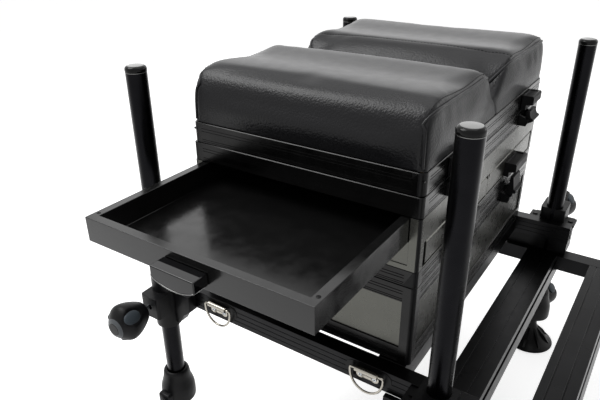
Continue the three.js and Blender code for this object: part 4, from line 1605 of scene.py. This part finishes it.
@dataclass
class Chassis:
    """The frame under the box: beams, strap rings and the footplate."""

    edge: float = 0.6 * MM
    roll: Pair = (2.2 * MM, 4.3 * MM)
    plate_front: float = 1.9 * MM
    plate_back: float = 0.4 * MM
    plate_half: float = 9 * MM
    plate_drop: float = 5.5 * MM
    waist: Pair = (11 * MM, 4.4 * MM)
    waist_edge: float = 0.3 * MM
    lobe: tuple[Pair, ...] = ((0, 0), (6.0 * MM, 0), (6.0 * MM, 1.4 * MM), (0, 1.4 * MM))
    screw_dome: tuple[Pair, ...] = (
        (0, -1.1 * MM), (1.3 * MM, -1.2 * MM), (2.8 * MM, -0.9 * MM), (3.3 * MM, 0.0), (0, 0.5 * MM),
    )
    screw_recess: tuple[Pair, ...] = ((0, -1.25 * MM), (1.2 * MM, -1.25 * MM), (1.2 * MM, 0), (0, 0))
    pad_half: Pair = (23 * MM, 12 * MM)
    pad_drop: float = 6 * MM
    pad_span: Pair = (-0.3 * MM, 0.4 * MM)
    ring_half: float = 27 * MM
    ring_drop: float = 35 * MM
    ring_corner: float = 3 * MM
    ring_fullness: float = 0.9
    ring_steps: int = 24

    def build(self) -> None:
        """Dress the beams and boards, and make the strap rings."""
        for node in ("side_beam_left", "side_beam_right", "cross_beam_front", "cross_beam_rear"):
            eased(node, BEAM, self.edge)
        for node in ("footplate_frame", "footplate_board_1", "footplate_board_2"):
            eased(node, BEAM, self.edge)
        for end in End:
            name = end.name.lower()
            self.strap_plate(name)
            self.strap_pad(name)
            self.strap_ring(name)

    def strap_plate(self, end: str) -> None:
        """Make the bright plate that holds a strap ring: a rolled loop and a bone-shaped foot with screws.

        Args:
            end: front or rear.
        """
        node = f"strap_plate_{end}"
        low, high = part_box(node)
        axis = joint_place(f"strap_ring_{end}")
        half = (high.y - low.y) / 2
        bore, outer = self.roll
        mesh = bmesh.new()
        loop = [(bore, -half), (outer, -half), (outer, half), (bore, half), (bore, -half)]
        turned(mesh, loop, axis, Axis.Y, steps=28)
        back = high.x - self.plate_back
        front = high.x - self.plate_front
        foot = low.z + self.plate_drop
        flank = Vector((0, self.plate_half, 0))
        block(mesh, Vector((front, axis.y, foot)) - flank, Vector((back, axis.y, axis.z)) + flank)
        waist = Vector((0, *self.waist))
        one = Vector((front, axis.y, foot)) - waist
        block(mesh, one, Vector((back, axis.y, foot)) + waist, self.waist_edge)
        for side in Side:
            place = Vector((front, axis.y + side.value * self.waist[0], foot))
            turned(mesh, self.lobe, place, Axis.X, steps=28)
            turned(mesh, self.screw_dome, place, Axis.X, steps=20, material=1)
            turned(mesh, self.screw_recess, place, Axis.X, steps=6, material=2)
        stands_for(polished(mesh, f"strap_fitting_{end}", [NICKEL, STEEL, MOULDED]), node)

    def strap_pad(self, end: str) -> None:
        """Make the moulded pad behind a strap plate.

        Args:
            end: front or rear.
        """
        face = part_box(f"strap_plate_{end}")[1].x
        axis = joint_place(f"strap_ring_{end}")
        centre = Vector((face, axis.y, axis.z - self.pad_drop))
        long, tall = self.pad_half
        front, back = self.pad_span
        half = Vector((0, long, tall))
        mesh = bmesh.new()
        block(mesh, centre - half + Vector((front, 0, 0)), centre + half + Vector((back, 0, 0)))
        disc = [(0, front), (tall, front), (tall, back), (0, back)]
        for side in Side:
            turned(mesh, disc, centre + Vector((0, side.value * long, 0)), Axis.X, steps=32)
        goes_on(polished(mesh, f"strap_pad_{end}", [MOULDED]), f"strap_plate_{end}")

    def strap_ring(self, end: str) -> None:
        """Make the D of round wire.

        Args:
            end: front or rear.
        """
        node = f"strap_ring_{end}"
        low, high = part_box(node)
        radius = (high.x - low.x) / 2
        axis = joint_place(node)
        half = self.ring_half - radius
        drop = self.ring_drop - self.ring_corner
        points = [Vector((0, half * t, 0)) for t in (-0.8, -0.4, 0, 0.4, 0.8)]
        points += [self.bend(half, turn) for turn in (60, 30)]
        for i in range(self.ring_steps + 1):
            angle = math.pi * i / self.ring_steps
            sag = drop * math.sin(angle) ** self.ring_fullness
            points.append(Vector((0, half * math.cos(angle), -self.ring_corner - sag)))
        points += [self.bend(half, turn) * Vector((0, -1, 1)) for turn in (30, 60)]
        wire = [axis + point for point in points]
        stands_for(tube_path(f"ring_{end}", wire, radius, NICKEL, closed=True), node)

    def bend(self, half: float, turn: float) -> Vector:
        """Return a point of the ring's upper right bend, from the middle of its bar.

        Args:
            half: half the ring's width.
            turn: in degrees, 90 at the bar and 0 at the bow.

        Returns:
            The point.
        """
        angle = math.radians(turn)
        corner = self.ring_corner
        return Vector((0, half - corner + corner * math.cos(angle), corner * math.sin(angle) - corner))


@dataclass
class Studio:
    """A pale floor, soft light from above and round about, and the photograph's camera.

    The camera's offset is in millimetres, from the floor under the middle of the box.
    """

    lens: float = 35.12
    sensor: float = 36.0
    nearest: float = 0.02
    camera_offset: Triple = (-833.7, -402.2, 855.3)
    look: Triple = (0.7404, 0.5070, -0.4413)
    right: Triple = (0.5603, -0.8283, -0.0116)
    up: Triple = (0.3714, 0.2387, 0.8974)
    floor_half: float = 12.0
    floor_color: Triple = (0.82, 0.82, 0.82)
    floor_roughness: float = 0.95
    floor_specular: float = 0.1
    floor_glow: float = 0.7
    fill_light: float = 0.35

    def build(self) -> None:
        """Set up view, camera, floor, world and lamps."""
        bpy.context.scene.view_settings.view_transform = "Standard"
        self.camera()
        self.floor()
        self.world()
        self.lamp("overhead", place=(0.2, 0.1, 2.4), aim=(0, 0, 0.4), size=1.4, power=10)
        self.lamp("back", place=(2.1, 1.5, 1.6), aim=(0, 0, 0.4), size=3.0, power=19)
        self.lamp("key", place=(-0.65, 1.3, 2.35), aim=(0, 0, 0.6), size=1.2, power=37)
        self.lamp("right", place=(1.9, -1.2, 1.35), aim=(0, 0, 0.4), size=0.8, power=3)

    def camera(self) -> None:
        """Place the camera from the box's middle, as the photograph was taken."""
        data = bpy.data.cameras.new("camera")
        data.lens = self.lens
        data.sensor_width = self.sensor
        data.clip_start = self.nearest
        made = bpy.data.objects.new("camera", data)
        place = Vector(self.camera_offset) * MM + upright_axis("seat_board")
        turn = Matrix((self.right, self.up, tuple(-c for c in self.look))).transposed().to_4x4()
        made.matrix_world = Matrix.Translation(place) @ turn
        bpy.context.scene.collection.objects.link(made)
        bpy.context.scene.camera = made

    def floor(self) -> None:
        """Lay the floor: pale, and white to the camera where nothing shades it."""
        mesh = bmesh.new()
        bmesh.ops.create_grid(mesh, x_segments=1, y_segments=1, size=self.floor_half)
        made = polished(mesh, "floor", [])
        paper = bpy.data.materials.new("floor_paper_lit")
        paper.use_nodes = True
        tree = paper.node_tree
        shader = tree.nodes["Principled BSDF"]
        shader.inputs["Base Color"].default_value = (*self.floor_color, 1)
        shader.inputs["Roughness"].default_value = self.floor_roughness
        shader.inputs["Specular IOR Level"].default_value = self.floor_specular
        glow = tree.nodes.new("ShaderNodeEmission")
        glow.inputs["Strength"].default_value = self.floor_glow
        both = tree.nodes.new("ShaderNodeAddShader")
        tree.links.new(shader.outputs["BSDF"], both.inputs[0])
        tree.links.new(glow.outputs["Emission"], both.inputs[1])
        pick = self.picked(tree, shader.outputs["BSDF"], both.outputs["Shader"])
        tree.links.new(pick, tree.nodes["Material Output"].inputs["Surface"])
        made.data.materials.append(paper)

    def world(self) -> None:
        """Make the world white to the eye and dimmer as a light."""
        world = bpy.data.worlds.new("studio")
        world.use_nodes = True
        bpy.context.scene.world = world
        tree = world.node_tree
        tree.nodes.clear()
        skies = []
        for strength in (self.fill_light, 1.0):
            sky = tree.nodes.new("ShaderNodeBackground")
            sky.inputs["Color"].default_value = (1, 1, 1, 1)
            sky.inputs["Strength"].default_value = strength
            skies.append(sky.outputs["Background"])
        output = tree.nodes.new("ShaderNodeOutputWorld")
        tree.links.new(self.picked(tree, *skies), output.inputs["Surface"])

    @staticmethod
    def picked(tree: NodeTree, light: NodeSocket, sight: NodeSocket) -> NodeSocket:
        """Return one shader for light, and another for what is seen, straight, in gloss or through glass.

        Args:
            tree: the nodes.
            light: what lights the object.
            sight: what the camera sees.

        Returns:
            The picked shader.
        """
        path = tree.nodes.new("ShaderNodeLightPath")
        seen = path.outputs["Is Camera Ray"]
        for kind in ("Is Glossy Ray", "Is Transmission Ray"):
            more = tree.nodes.new("ShaderNodeMath")
            more.operation = "MAXIMUM"
            tree.links.new(seen, more.inputs[0])
            tree.links.new(path.outputs[kind], more.inputs[1])
            seen = more.outputs["Value"]
        pick = tree.nodes.new("ShaderNodeMixShader")
        tree.links.new(seen, pick.inputs["Fac"])
        tree.links.new(light, pick.inputs[1])
        tree.links.new(sight, pick.inputs[2])
        return pick.outputs["Shader"]

    @staticmethod
    def lamp(name: str, place: Triple, aim: Triple, size: float, power: float) -> None:
        """Hang one soft lamp.

        Args:
            name: the lamp's name.
            place: where it hangs.
            aim: the point that it faces.
            size: edge of its square face.
            power: in watts.
        """
        data = bpy.data.lights.new(name, "AREA")
        data.shape = "SQUARE"
        data.size = size
        data.energy = power
        made = bpy.data.objects.new(name, data)
        turn = (Vector(aim) - Vector(place)).to_track_quat("-Z", "Y").to_matrix().to_4x4()
        made.matrix_world = Matrix.Translation(place) @ turn
        bpy.context.scene.collection.objects.link(made)


def main() -> None:
    """Build the looks."""
    logging.basicConfig(level=logging.INFO, format="%(name)s: %(message)s")
    Studio().build()
    Cushion().build()
    Stack().build()
    Chassis().build()
    for end in End:
        for side in Side:
            Leg(end, side).build()


if __name__ == "__main__":
    main()
